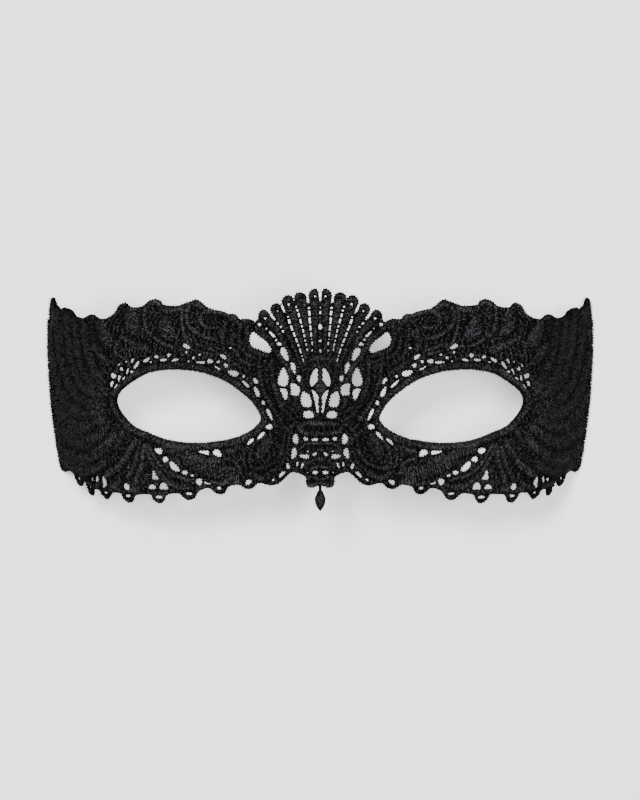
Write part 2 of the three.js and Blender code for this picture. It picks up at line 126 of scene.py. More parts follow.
CHEEK_HOLES = [
    (30.45, -15, 1.38, 1.08, 15), (36.6, -23.2, 1, 1.2, 10), (38.7, -21.4, 0.8, 0.45, 10),
    (40.7, -20.6, 0.95, 0.78, 0), (43.75, -18.95, 2, 1.02, 38), (46.2, -16.8, 1, 1, 0),
    (48, -14.4, 1.3, 0.95, 30),
    (76.9, -22.8, 1.5, 0.95, -10),
]
NOSE_HOLES = [
    (17.3, 21.7, 0.65, 0.65, 0), (15.2, 20.5, 0.4, 0.35, 0), (13.6, 18.8, 1.3, 0.5, 45),
    (12.5, 17.3, 0.5, 0.5, 0),
    (11.6, 16.1, 0.8, 0.7, 0), (10.1, 13.3, 2.1, 1.1, 60), (7.6, 9.4, 1.9, 0.75, 70), (6, 6.3, 0.75, 1.05, 0),
    (1.4, -11.15, 1.08, 0.62, 0), (4.15, -10.95, 0.78, 0.68, 0), (7.1, -11, 1, 1.6, 8),
    (1.45, -15.2, 1.1, 0.5, -38),
    (3.6, -14.5, 0.35, 0.4, 0), (4.5, -15.9, 1.65, 0.76, 0), (7.65, -15, 0.95, 1.65, 14),
    (5.25, -18.5, 0.46, 0.95, 15),
    (6.75, -18.1, 0.44, 0.82, 16), (1.45, -20.5, 1.1, 0.58, 0), (3.7, -20.5, 0.38, 0.28, 0),
    (9.5, -18.7, 0.64, 1, -8),
    (11.4, -21, 1.4, 0.55, -45), (14, -22.6, 0.6, 0.45, -40), (2.2, 14.3, 0.4, 0.42, 0),
    (3.6, 14.5, 0.42, 0.52, 0),
    (12, 21.9, 0.55, 0.5, 50), (11.1, 21, 0.48, 0.48, 0), (10.5, 19.7, 0.44, 0.5, 0),
]
LOOP_HOLES = [
    (21.6, -23.3, 1.25, 0.72, -20), (30.6, -25, 0.95, 0.5, 0), (40.1, -26.6, 1.1, 0.48, 0),
    (49.7, -27.6, 1.1, 0.55, 0),
    (59.85, -27.3, 1, 0.58, 0), (69.2, -26.5, 1.15, 0.55, 0), (79.9, -25, 1.35, 0.55, 0),
    (88, -22.6, 1.6, 0.62, 0),
    (99.2, -19.1, 1.1, 0.36, 0),
]
EYELETS = [
    (1.4, 29.7, 0.52, 0.36, 35), (8.85, 27.4, 0.45, 0.5, 0), (12.15, 25.5, 0.4, 0.4, 0),
    (15.6, 23.4, 0.46, 0.46, 0),
]
MIDDLE_HOLES = [
    (0, 27.45, 0.28, 0.24, 0), (0, 26.6, 0.3, 0.38, 0), (0, 25.1, 0.42, 0.65, 0), (0, 23.6, 0.32, 0.4, 0),
    (0, 21, 0.72, 0.88, 0), (0, 17, 0.52, 0.66, 0), (0, 14.15, 0.42, 0.64, 0),
]

# Openings of the right half with a shape of their own
SHAPED_HOLES = [
    [(19.1, 19.6), (20.2, 17.6), (19.9, 16), (19.2, 15.1), (17, 14.3), (15, 13.5), (13.9, 13.9), (13.8, 14.7),
     (15.2, 16.8), (17.8, 18.7)],
    [(4.8, 2.7), (5.3, 1.8), (5.6, 0.7), (5.1, -1.6), (4.4, -1.9), (2.9, -1.9), (2.35, -1.2), (2.9, 1.5),
     (3.7, 2.2)],
    [(2.5, -3), (4.4, -3), (4.8, -3.6), (4.7, -4.8), (3, -5.1), (1.8, -4.8), (1.6, -4.2)],
    [(6.2, 4.3), (7.4, 4.9), (8.5, 4.8), (8.3, 2.8), (8.4, 1.6), (7.3, 1.4), (6.2, 1.4), (5.6, 3.2)],
    [(10.5, 9.5), (11.5, 7.7), (12.1, 5.8), (11.9, 4.6), (10.3, 3.9), (9.3, 4.6), (8.9, 6.5), (9.6, 8.4)],
    [(9.4, 3.1), (11.5, 3.4), (11.1, 2.1), (10, 0.1), (9.2, 1.1)],
    [(37, 14.8), (38.3, 16.2), (39.1, 16.3), (39.4, 15.3)],
    [(33, -14.4), (34.6, -14.3), (36.1, -14.5), (34.2, -15.3), (33, -15.5)],
    [(33.1, -23.6), (34.2, -23.5), (34.8, -22.9), (35.1, -23.6), (34.3, -23.9), (33.4, -23.9)],
    [(59.9, -23.5), (60.8, -24.1), (61, -25.4), (59.9, -25.8), (58.6, -25.4), (58.8, -24.4)],
    [(50.3, -19.9), (50.9, -21.3), (51.1, -22.5), (50, -22.7), (48.9, -22.5), (49.6, -21.3)],
    [(47.7, -23.3), (49.2, -25.2), (47.8, -25.5), (46.4, -25.2)],
    [(51.3, -23.9), (52.7, -25.1), (51.4, -25.35), (50.1, -25.1)],
    [(67.9, -21.6), (69.5, -21.6), (70.9, -24.8), (69, -25), (67.6, -23.8)],
    [(71.9, -21.8), (73.6, -21.8), (75, -23.8), (73.8, -24.2), (72.2, -23.4)],
]

# Openings beside the middle thread, right half
MIDDLE_OPENINGS = [
    [(0.25, 8.6), (1.1, 9.2), (1.9, 8.4), (2.6, 6.9), (2.9, 5.5), (2.75, 4.3), (2.3, 3.9), (1.9, 4.1),
     (1.2, 4.9),
     (0.45, 5.9), (0.2, 7.2)],
    [(2.2, 3.2), (2.3, 2.6), (1.6, 0), (1.05, -2.4), (0.7, -3.6), (0.3, -3.3), (0.2, -1.5), (0.2, 0.6),
     (0.9, 2)],
]

# Gaps between the rays of the fan: centre line, half width at its two ends, heights of the ties across it
RAY_GAPS = [
    ([(3.2, 26.7), (3, 25), (2.85, 22.6), (2.65, 20.5), (2.35, 17.6), (2.1, 15.7)], (0.4, 0.24),
     (25.7, 23.8, 21.5, 19.6, 17.7, 16.9)),
    ([(6.8, 27), (6, 24.4), (5.35, 22), (4.7, 19.7), (4.1, 16.8), (3.7, 15.2)], (0.34, 0.23),
     (26.1, 24.9, 23.3, 21.6, 20.4, 19, 17.5, 16.4)),
    ([(9.15, 24.1), (8.55, 22), (7.6, 19.6), (6.6, 17), (5.5, 14), (4.6, 11)], (0.37, 0.24),
     (23.3, 21.5, 19.5, 17.8, 16.2, 14.9, 13, 12.1)),
]


class Direction(Enum):
    """Which way the threads of a band lie."""

    ACROSS = 0.0
    LEANING = 18.0
    SLANTED = 34.0


@dataclass(frozen=True)
class Band:
    """A raised band of stitches: middle line, width at both ends and height in mm, lay, and how light it is."""

    line: Points
    wide: tuple[float, float]
    height: float = 0.8
    lay: Direction = Direction.LEANING
    closed: bool = False
    tint: float = 1.0

    @property
    def loose(self) -> float:
        """How unevenly the threads lie, from 0 on a raised band to 1 on a flat one."""
        return float(np.clip((0.5 - self.height) / 0.4, 0, 1))


def band(line: Points, start: float, end: Optional[float] = None, height: float = 0.8,
         lay: Direction = Direction.LEANING, tint: float = 1.0) -> Band:
    """A band that narrows or widens along its line.

    Args:
        line: Points of the middle line.
        start: Width where the line starts.
        end: Width where it ends, or None for an even band.
        height: Height over the ground.
        lay: How the threads lie.
        tint: How light its threads are beside its neighbours.

    Returns:
        The band.
    """
    moved = [(s + SHIFT[0], v + SHIFT[1]) for s, v in line]
    return Band(moved, (start, start if end is None else end), height, lay, tint=tint)


FAN_BANDS = [
    band([(1.15, 14.6), (1.5, 18), (1.5, 22), (1.4, 25.5), (1.5, 28)], 1, 2.6, 0.8),
    band([(2.85, 14), (3.5, 18.5), (4.1, 22), (4.7, 25.4), (5.4, 28.6)], 0.9, 3, 0.8),
    band([(4.2, 11.5), (5.4, 16), (6.9, 22), (8.1, 25), (8.7, 26.6)], 1, 3.2, 0.8),
    band([(5.3, 9.6), (7, 14.3), (8.4, 17.8), (10.4, 22), (11.9, 24.8)], 0.7, 2.4, 0.65),
    band([(7.2, 10), (10, 15.7), (11.6, 19.2), (13.8, 21.9), (15.2, 23)], 0.7, 2, 0.65),
    band([(18, 20.9), (15.2, 18.2), (12.9, 15.2), (11.2, 12), (9.1, 9.6), (8.3, 7.5), (7.4, 5.4)],
         2.3, 1.3, 0.9, tint=0.65),
    band([(3.9, 12.6), (4.6, 10), (4.6, 7)], 1.6, 1.6, 0.4),
    band([(0, 2.6), (0, 4.4), (0, 6.4)], 4.2, 0.5, 0.9, Direction.ACROSS),
    band([(0, 5), (0, 3.2), (0, 1.3)], 4.2, 0.5, 0.9, Direction.ACROSS),
    band([(0, 9.9), (1.8, 9.9), (3.3, 7.8), (3.5, 5)], 1, 1.1, 0.3),
    band([(0, 13), (0, 20), (0, 28)], 0.9, 0.6, 0.3),
    band([(-1.6, 12), (1.6, 12), (3.2, 11)], 1.6, 1.4, 0.35),
]
NOSE_BANDS = [
    band([(20.5, 21.8), (20.9, 19.6), (20.8, 17.2), (19.8, 14.9), (18, 13.6), (15.8, 12.9), (14, 12.4)],
         1.4, 1.3, 0.55),
    band([(22.4, 22.4), (22.8, 20.2), (22.8, 17), (21.8, 13.9), (19.8, 12.5), (18.4, 12)], 1.4, 1.1, 0.5),
    band([(24.7, 21.8), (25.2, 19.6), (25.1, 17.4), (24.5, 15), (23.3, 12.6), (21.6, 11), (19.6, 10)],
         1.6, 1.1, 0.5),
    band([(23, 21.2), (23.6, 22.4), (25, 23), (26.4, 22.4), (27.4, 20.6), (27.8, 17.5), (27.2, 13.8),
          (25.2, 11.2),
          (22.5, 9.3), (20.2, 8)], 1.3, 1.3, 0.65),
    band([(17, 12.2), (17.3, 9), (16.9, 6), (16, 2.8), (14.7, -0.2), (13.3, -2.6), (11.6, -5),
          (10.1, -7.8)], 1.5, 1.4, 0.85),
    band([(13.9, 11.4), (13.6, 7.7), (13.1, 4), (12.1, 0.5), (10.4, -2.7), (8.6, -4.6), (7.2, -5.4)],
         1.7, 1.4, 0.7),
    band([(15.5, 11.4), (15.5, 6)], 1, 0.8, 0.4),
    band([(7.2, 1.2), (7, -0.6), (6.6, -2)], 1.5, 1.2, 0.6),
    band([(5.9, -1.8), (6.8, -3.3), (8.6, -2.2), (10.2, -1)], 0.9, 0.9, 0.7),
    band([(-1.6, -6.6), (2, -6.6), (4.5, -6.8), (5.8, -7.4), (5.8, -8.6), (4.4, -9.2), (2, -9.4),
          (-1.6, -9.4)],
         1.7, 1.5, 0.85, Direction.ACROSS, 1.4),
    band([(-1.6, -12.2), (2.2, -12.2), (4, -12.6), (5.3, -13.2), (5.8, -14.2)], 1.1, 1.1, 0.95, tint=1.5),
    band([(-1.6, -14.3), (1.2, -14.3), (2.4, -14.8)], 0.9, 0.8, 0.5),
    band([(-1.6, -16.7), (1.5, -16.8), (2.8, -17.5), (4.4, -18.2)], 1.6, 1.1, 0.6, tint=1.2),
    band([(-1.6, -18.9), (1.4, -19), (2.8, -19.8)], 1.1, 1, 0.8, tint=1.2),
    band([(-1.6, -22.4), (1, -22.2), (2.6, -21.7), (3.6, -22.3)], 1.2, 1.2, 0.95, tint=1.2),
    band([(-1.6, -23.7), (1.2, -23.6), (2.8, -24.2), (3.6, -23.4)], 0.9, 1.1, 0.7, tint=1.2),
    band([(6.2, -5.7), (7.4, -6.9), (9.3, -8.2), (10.3, -10.1), (10.7, -12.1), (11.2, -14.3), (12.2, -16.1),
          (13.6, -17.6), (15.9, -18.8), (18.8, -19.4), (20.6, -18.8)], 1.2, 1.7, 0.75),
    band([(8.9, -9.6), (9.2, -12), (9.8, -15), (11, -17.6), (12.4, -19.2)], 0.9, 0.9, 0.45),
    band([(14.4, -10.2), (16.2, -13), (18.3, -16)], 3.4, 3.2, 0.75, Direction.SLANTED, 1.25),
    band([(16.1, -9.9), (18.5, -11.8), (19.9, -13.6), (20.7, -15.8), (20.9, -18)], 0.9, 1, 0.85, tint=1.3),
    band([(13.1, -19.5), (15, -21), (17.4, -22), (19.4, -21.7), (20.9, -20.5)], 1.6, 2.2, 0.85, tint=1.3),
]
BROW_BANDS = [
    band([(23.9, 23.3), (26.9, 24.6), (30.9, 25.4), (32.9, 25.2), (34.2, 23.3), (33.5, 21.6),
          (31.9, 20.8), (30.2, 20.6),
          (28.9, 20.9)], 1.5, 1.2, 0.95),
    band([(33.2, 26.4), (34.8, 27.3), (36.3, 27.2)], 1.6, 1.3, 0.8, Direction.ACROSS),
    band([(37.3, 27), (38.2, 24.5), (37.7, 21.8), (36.2, 20.1), (34.4, 18.8), (32.2, 17.8), (29.7, 17.4)],
         1.6, 1.2, 0.8),
    band([(38.9, 26.8), (39.4, 25), (39.5, 23.1), (38.9, 19.6), (37.7, 16.6), (36.7, 15.3)], 1, 1.1, 0.85),
    band([(29.7, 14.1), (32.9, 15.1), (35, 16)], 1.2, 1.1, 0.7),
    band([(30.4, 13), (33.2, 13.8)], 0.9, 0.9, 0.6),
    band([(39.6, 26.2), (41.9, 25.7), (44.2, 25.4), (45.3, 26.6)], 1.4, 1.1, 0.8, Direction.ACROSS),
    band([(43.4, 23.2), (43.9, 20.6), (42.9, 17.4)], 5, 4.2, 0.7, Direction.SLANTED, 0.85),
    band([(45.6, 27.2), (47, 27.9), (48.6, 27.6)], 1.5, 1.2, 0.8, Direction.ACROSS),
    band([(50, 27.1), (50.4, 24.6), (50.3, 22.6), (49.3, 19.6), (47, 17.6), (44.7, 16.1), (41.9, 15.3)],
         1.2, 1.3, 0.85),
    band([(53.6, 25.6), (54.1, 23.1), (53.6, 19.2)], 4.4, 3.6, 0.75, Direction.SLANTED, 0.85),
    band([(48.6, 14), (51.4, 15.2), (54.2, 16.4), (57.8, 18.4)], 2.6, 1, 0.8),
    band([(58.4, 16.8), (59.1, 15), (58.9, 13.2), (57.4, 12.6)], 1.1, 1.1, 0.7),
    band([(63.4, 22.4), (63.6, 20.4), (62.6, 17.8), (61.2, 15.8)], 5.2, 3.6, 0.65, Direction.SLANTED, 0.9),
    band([(67, 16.2), (64.6, 13), (61.8, 10.2)], 3.4, 2.2, 0.6, Direction.SLANTED),
]
SIDE_BANDS = [
    band([(62, 3), (66.2, 7), (69.6, 12.5), (71.6, 18), (72.2, 22.8)], 2, 4, 0.4, Direction.SLANTED),
    band([(63, 1.6), (69.8, 5.5), (75, 11), (77.8, 17.4), (78.4, 23)], 2, 5.6, 0.25, Direction.SLANTED),
    band([(63.6, 0.3), (71.6, 3), (79, 8), (83.8, 15), (85.6, 25)], 1.9, 6.6, 0.28, Direction.SLANTED),
    band([(64, -1.4), (73, -0.6), (83, 3.4), (90, 11), (94.6, 26)], 1.9, 7.2, 0.28, Direction.SLANTED),
    band([(96, 27), (98.8, 20), (100.2, 12)], 3.6, 3, 0.28, Direction.SLANTED),
    band([(64, -3.3), (74, -4), (85, -2), (94, 4), (99.6, 14)], 1.9, 6.4, 0.28, Direction.SLANTED),
    band([(63.5, -5.3), (73, -7.3), (85, -7.2), (95, -2.6), (101, 3)], 1.9, 6, 0.28, Direction.SLANTED),
    band([(62.4, -7.3), (71, -11), (82, -12.3), (93, -9.8), (101.4, -6.4)], 2, 6, 0.28, Direction.SLANTED),
    band([(60.6, -9.4), (68, -14.4), (78, -17.2), (90, -16.2), (101, -13.6)],
         2.2, 5.4, 0.28, Direction.SLANTED),
    band([(66, -17.6), (74, -20.3), (84, -20.7), (93, -19.4), (101, -18.4)], 2.2, 3.4, 0.4),
    band([(100.9, 23.6), (101, 10), (101, -6), (100.9, -18.6)], 1.6, 1.6, 0.4, Direction.ACROSS),
]
CHEEK_BANDS = [
    band([(50.8, -12.4), (50.2, -14.2), (49.1, -16.4), (47.8, -18.6), (45.7, -20.6), (42.9, -21.8),
          (40.3, -22.6),
          (38.8, -23.1)], 1.1, 1.1, 0.9),
    band([(51.5, -13.3), (51, -15.7), (50.1, -17.9), (48.8, -20.1), (47, -22.3), (45.3, -23.7), (43.3, -24.5),
          (39.8, -24.9)], 1.3, 1.8, 0.75),
    band([(51.9, -12.4), (52.7, -15.2), (53.3, -17.9), (54.4, -20.1), (55.8, -22.4), (56.9, -24.4)],
         1.2, 1.8, 0.9),
    band([(53.6, -13.2), (55, -17), (57, -20.3), (59.2, -22.8)], 1.1, 1.3, 0.55),
    band([(54.2, -10.9), (55.9, -13.4), (57.9, -15.9), (60, -18.2), (63.1, -19.9), (66.3, -21.4)],
         1.5, 2.4, 0.9),
    band([(57.4, -8.4), (59.1, -10.6), (60.8, -13)], 1.5, 1.8, 0.75),
    band([(61.6, -23.4), (64, -24.6), (66.2, -25.4)], 2, 1.6, 0.6),
    band([(66.4, -21.4), (72, -24.4), (80, -23.8)], 2.2, 1.8, 0.6),
    band([(24.4, -21.5), (28.1, -21), (32.4, -19.8), (36.7, -18.2), (40.6, -16.4)],
         4.6, 3.6, 0.65, Direction.ACROSS, 0.85),
    band([(29.5, -17.3), (34, -16.9), (38, -15.8), (42.3, -14.5), (46, -13.4)],
         1.5, 2.8, 0.6, Direction.ACROSS),
    band([(23.6, -21), (23.8, -19.6), (24.5, -18.1), (26, -17), (28.2, -16.6)], 1.2, 1.2, 1.1),
    band([(24, -23.2), (30, -23.7), (33, -23.2)], 1.4, 1.2, 0.7),
    band([(23.6, -13.4), (26.2, -14.4), (28.2, -14.6)], 1.8, 1.4, 0.5),
    band([(55, -25), (57.2, -25.6), (63, -25.4)], 1.6, 1.6, 0.6, Direction.ACROSS),
]
EYE_RIM = 0.95

# How light the threads of each group are
SHADES = {"fan": 0.66, "nose": 0.63, "brow": 1.0, "side": 1.05, "cheek": 1.0, "eye_rim": 0.79}

# How much darker the threads of a group grow for each mm upwards; on the eye rim this is painted light, the lower rim
# lit and the upper rim in painted shade
UPWARD_DARKENING = {"fan": -0.02, "nose": 0.0, "brow": 0.0, "side": 0.0, "cheek": 0.0, "eye_rim": 0.029}

# Spun pieces on the middle line: places v and radii
DROP_PROFILE = [
    (-23.9, 0.5), (-25.7, 0.48), (-26.1, 0.85), (-26.7, 1.1), (-27.2, 1.3), (-27.7, 1.58), (-28.3, 1.68),
    (-29, 1.62), (-29.7, 1.42), (-30.4, 1.1), (-30.9, 0.72), (-31.3, 0.45), (-31.6, 0.18),
]
STEMS = {
    "middle_stem_upper": [(9.4, 0.75), (8.8, 0.76), (7.6, 0.74), (6, 0.72)],
    "middle_stem_lower": [(2, 0.6), (0.6, 0.54), (-0.5, 0.6), (-0.9, 0.78), (-1.3, 0.6), (-2.6, 0.52),
    (-3.9, 0.5)],
}

# What the threads round an opening take from its half width, and how far they pull it out of round
HOLE_EASE = 0.05
HOLE_PULL = 0.09


def unit(vectors: np.ndarray) -> np.ndarray:
    """The vectors at length one."""
    return vectors / np.maximum(np.linalg.norm(vectors, axis=-1, keepdims=True), 1e-9)


def evenly(line: np.ndarray, step: float) -> np.ndarray:
    """Points along a line at even spacing.

    Args:
        line: The line's points, (n, 2).
        step: Spacing wished for, in mm.

    Returns:
        The new points, ends included.
    """
    run = np.concatenate([[0], np.cumsum(np.linalg.norm(np.diff(line, axis=0), axis=1))])
    at = np.linspace(0, run[-1], max(3, int(round(run[-1] / step)) + 1))
    return np.stack([np.interp(at, run, line[:, k]) for k in range(2)], axis=1)


def smooth(points: Points, closed: bool = False, step: float = 0.4) -> np.ndarray:
    """Smooth line through points, without overshoot.

    Args:
        points: Places that the line passes.
        closed: True for a line that returns to its start.
        step: Spacing of the result, in mm.

    Returns:
        Points of the line; a closed one doesn't repeat its first.
    """
    p = np.asarray(points, float)
    around = (np.vstack([p[-1:], p, p[:2]]) if closed
              else np.vstack([2 * p[:1] - p[1:2], p, 2 * p[-1:] - p[-2:-1]]))
    way = unit(around[2:] - around[:-2])
    start, end = around[1:-2], around[2:-1]
    length = np.linalg.norm(end - start, axis=1, keepdims=True)
    count = len(start)
    t = np.linspace(0, 1, 9)[:-1].reshape(-1, 1, 1)
    line = ((2 * t**3 - 3 * t**2 + 1) * start + (t**3 - 2 * t**2 + t) * length * way[:count]
            + (3 * t**2 - 2 * t**3) * end + (t**3 - t**2) * length * way[1:count + 1])
    line = line.transpose(1, 0, 2).reshape(-1, 2)
    line = evenly(np.vstack([line, p[:1] if closed else p[-1:]]), step)
    return line[:-1] if closed else line


def oval(s: float, v: float, length: float, width: float, degrees: float) -> np.ndarray:
    """Closed outline of an oval opening.

    Args:
        s: Place of its middle along the lace.
        v: Height of its middle.
        length: Half its length.
        width: Half its width.
        degrees: How far it is turned.

    Returns:
        Points round the oval.
    """
    count = max(10, int(2 * math.pi * max(length, width) / 0.36))
    angle = np.linspace(0, 2 * math.pi, count, endpoint=False)
    turn = math.radians(degrees)
    pull = 1 + HOLE_PULL * np.sin(3 * angle + s + v) + HOLE_PULL * np.sin(2 * angle + 2 * s - v)
    a, b = (length - HOLE_EASE) * pull * np.cos(angle), (width - HOLE_EASE) * pull * np.sin(angle)
    return np.stack([s + a * math.cos(turn) - b * math.sin(turn),
                     v + a * math.sin(turn) + b * math.cos(turn)], axis=1)


def slot(line: Points, wide: tuple[float, float]) -> np.ndarray:
    """Closed outline of a narrow gap along a line, rounded by drawing in its ends.

    Args:
        line: Middle line of the gap.
        wide: Half width at its two ends.

    Returns:
        Points round the gap.
    """
    middle = smooth(line, step=0.4)
    side = unit(np.gradient(middle, axis=0))[:, ::-1] * (-1, 1)
    half = np.linspace(wide[0], wide[1], len(middle))[:, None]
    half[[0, -1]] *= 0.45
    return np.vstack([middle + side * half, (middle - side * half)[::-1]])


def mirrored(points: np.ndarray) -> np.ndarray:
    """The same outline on the other half of the lace."""
    return (np.asarray(points, float) * (-1, 1))[::-1]


@dataclass
class Form:
    """The face that the lace is bent over: a shallow front arc, a tight temple arc and a straight side, in mm."""

    front_radius: float = 240.0
    front_half: float = 52.0
    temple_radius: float = 24.5
    temple_arc: float = 23.1
    end: float = 102.0
    taper_top: float = 17.1
    taper_reach: float = 37.0
    taper: float = 0.046
    neutral_layer: float = 0.55

    def section(self, s: np.ndarray) -> tuple[np.ndarray, np.ndarray, np.ndarray]:
        """Slope, distance from the middle and depth at a length on the form.

        Args:
            s: Lengths from the middle, not negative.

        Returns:
            Turn in radians, x and depth in mm.
        """
        front = self.front_half / self.front_radius
        side = front + self.temple_arc / self.temple_radius
        past = s - self.front_half
        turn = np.where(past < 0, s / self.front_radius, np.minimum(front + past / self.temple_radius, side))
        shallow, straight = np.minimum(turn, front), np.maximum(0, past - self.temple_arc)
        x = (self.front_radius * np.sin(shallow) + self.temple_radius * (np.sin(turn) - np.sin(shallow))
             + straight * math.cos(side))
        depth = (self.front_radius * (1 - np.cos(shallow)) + self.temple_radius * (np.cos(shallow) - np.cos(turn))
                 + straight * math.sin(side))
        return turn, x, depth

    def height(self) -> float:
        """Height of the front of the form over its ends, in mm."""
        return float(self.section(np.array([self.end]))[2][0])

    def place(self, flat: np.ndarray) -> np.ndarray:
        """Bend points of the flat lace over the form.

        Args:
            flat: Points s, v, t in mm, (n, 3).

        Returns:
            The points in metres.
        """
        s, v, t = flat[:, 0], flat[:, 1], flat[:, 2]
        turn, x, depth = self.section(np.abs(s))
        taper = 1 - self.taper * (np.maximum(0, self.taper_top - v) / self.taper_reach) ** 2
        across = np.sign(s) * (x + (t - self.neutral_layer) * np.sin(turn)) * taper
        return np.stack([across, v, self.height() - depth + t * np.cos(turn)], axis=1) * MM


@dataclass
class Drawing:
    """The flat lace as drawn: its outline and openings, in mm, and how far each spot lies from an edge."""

    step: float = 0.1
    half_length: float = 104.0
    half_height: float = 34.0
    reach: float = 3.0
    wrap_pitch: float = 0.85
    edges: list[np.ndarray] = field(default_factory=list)
    bound: list[bool] = field(default_factory=list)
    labels: np.ndarray = field(default_factory=lambda: np.zeros((1, 1), np.int16))
    depths: np.ndarray = field(default_factory=lambda: np.zeros((1, 1)))

    def build(self) -> None:
        """Draw every edge and measure the lace between them."""
        right = smooth(FAN_EDGE + TOP_EDGE + END_EDGE + LOWER_EDGE, step=0.4)
        self._add(np.vstack([right, mirrored(right)[1:-1]]), True)
        for hole in MIDDLE_HOLES:
            self._add(oval(*hole) + (0, SHIFT[1]), False)
        halves = [(smooth(EYE, closed=True, step=0.45), False)]
        halves += [(oval(*hole), True) for hole in NET_HOLES + CHEEK_HOLES + LOOP_HOLES + NOSE_HOLES + EYELETS]
        halves += [(smooth(hole, closed=True, step=0.4), True) for hole in SHAPED_HOLES]
        halves += [(smooth(hole, closed=True, step=0.4), False) for hole in MIDDLE_OPENINGS]
        halves += [(slot(line, wide), False) for line, wide, _ in RAY_GAPS]
        for outline, _ in halves[1:]:
            outline += SHIFT
        for outline, bound in halves:
            self._add(outline, bound)
            self._add(mirrored(outline), bound)
        self._label()
        self._measure()

    def _add(self, outline: np.ndarray, bound: bool) -> None:
        """Keep an edge, running anticlockwise."""
        nxt = np.roll(outline, -1, axis=0)
        area = float(np.sum(outline[:, 0] * nxt[:, 1] - nxt[:, 0] * outline[:, 1]))
        self.edges.append(outline if area > 0 else outline[::-1])
        self.bound.append(bound)

    def along(self, number: int, parts: int) -> np.ndarray:
        """Points along an edge, so many for each of the threads that wrap it.

        Args:
            number: The edge's number.
            parts: Points for each thread.

        Returns:
            The points; the first isn't repeated.
        """
        edge = np.vstack([self.edges[number], self.edges[number][:1]])
        length = float(np.sum(np.linalg.norm(np.diff(edge, axis=0), axis=1)))
        threads = max(3, round(length / self.wrap_pitch))
        return evenly(edge, length / (threads * parts))[:-1]

    def narrowest(self, number: int) -> float:
        """Smallest distance from the middle of an opening to its edge."""
        edge = self.edges[number]
        return float(np.linalg.norm(edge - edge.mean(axis=0), axis=1).min())

    def _filled(self, outline: np.ndarray, shape: tuple[int, int]) -> np.ndarray:
        """Grid spots inside an outline, found row by row."""
        toggles = np.zeros(shape, np.int32)
        for (s0, v0), (s1, v1) in zip(outline, np.roll(outline, -1, axis=0)):
            low, high = sorted(((v0 + self.half_height) / self.step, (v1 + self.half_height) / self.step))
            rows = np.arange(math.ceil(low), math.ceil(high))
            if rows.size:
                cut = s0 + (rows * self.step - self.half_height - v0) * (s1 - s0) / (v1 - v0)
                cols = np.ceil((cut + self.half_length) / self.step).astype(int)
                np.add.at(toggles, (rows, np.clip(cols, 0, shape[1] - 1)), 1)
        return np.cumsum(toggles, axis=1) % 2 == 1

    def _label(self) -> None:
        """Number every grid spot: 0 is lace, -1 is outside, and a hole has its edge's number."""
        shape = (int(2 * self.half_height / self.step) + 1, int(2 * self.half_length / self.step) + 1)
        self.labels = np.where(self._filled(self.edges[0], shape), 0, -1).astype(np.int16)
        for number, edge in enumerate(self.edges[1:], start=1):
            self.labels[self._filled(edge, shape)] = number

    def _measure(self) -> None:
        """Distance of every second grid spot to the nearest edge, negative off the lace."""
        border = np.vstack([evenly(np.vstack([edge, edge[:1]]), 0.12) for edge in self.edges])
        tree = kdtree.KDTree(len(border))
        for i, (s, v) in enumerate(border):
            tree.insert((s, v, 0), i)
        tree.balance()
        coarse = self.labels[::2, ::2]
        rows, cols = coarse.shape
        gap = 2 * self.step
        self.depths = np.full(coarse.shape, -self.reach)
        for row in range(rows):
            v = row * gap - self.half_height
            for col in range(cols):
                if coarse[row, col] != -1 or 0 < row < rows - 1 and 0 < col < cols - 1 and (
                        coarse[row - 1:row + 2, col - 1:col + 2] != -1).any():
                    distance = tree.find((col * gap - self.half_length, v, 0))[2]
                    self.depths[row, col] = distance if coarse[row, col] == 0 else -distance

    def label(self, points: np.ndarray) -> np.ndarray:
        """What each point lies on: 0 lace, -1 outside, or the number of a hole."""
        cols = np.clip(np.rint((points[..., 0] + self.half_length) / self.step).astype(int), 0, self.labels.shape[1] - 1)
        rows = np.clip(np.rint((points[..., 1] + self.half_height) / self.step).astype(int), 0, self.labels.shape[0] - 1)
        return self.labels[rows, cols]

    def read(self, grid: np.ndarray, points: np.ndarray) -> np.ndarray:
        """Value of a grid at points between its spots.

        Args:
            grid: A grid over the whole lace, at twice the drawing's step.
            points: Places s, v, with any leading shape.

        Returns:
            The values, blended from the four spots round each point.
        """
        gap = 2 * self.step
        x = np.clip((points[..., 0] + self.half_length) / gap, 0, grid.shape[1] - 1.001)
        y = np.clip((points[..., 1] + self.half_height) / gap, 0, grid.shape[0] - 1.001)
        i, j = x.astype(int), y.astype(int)
        a, b = x - i, y - j
        return ((grid[j, i] * (1 - a) + grid[j, i + 1] * a) * (1 - b)
                + (grid[j + 1, i] * (1 - a) + grid[j + 1, i + 1] * a) * b)

    def depth(self, points: np.ndarray) -> np.ndarray:
        """How far inside the lace each point lies, in mm."""
        return self.read(self.depths, points)

    def area(self) -> float:
        """Area of the lace in square metres."""
        return float(np.count_nonzero(self.labels == 0)) * (self.step * MM) ** 2


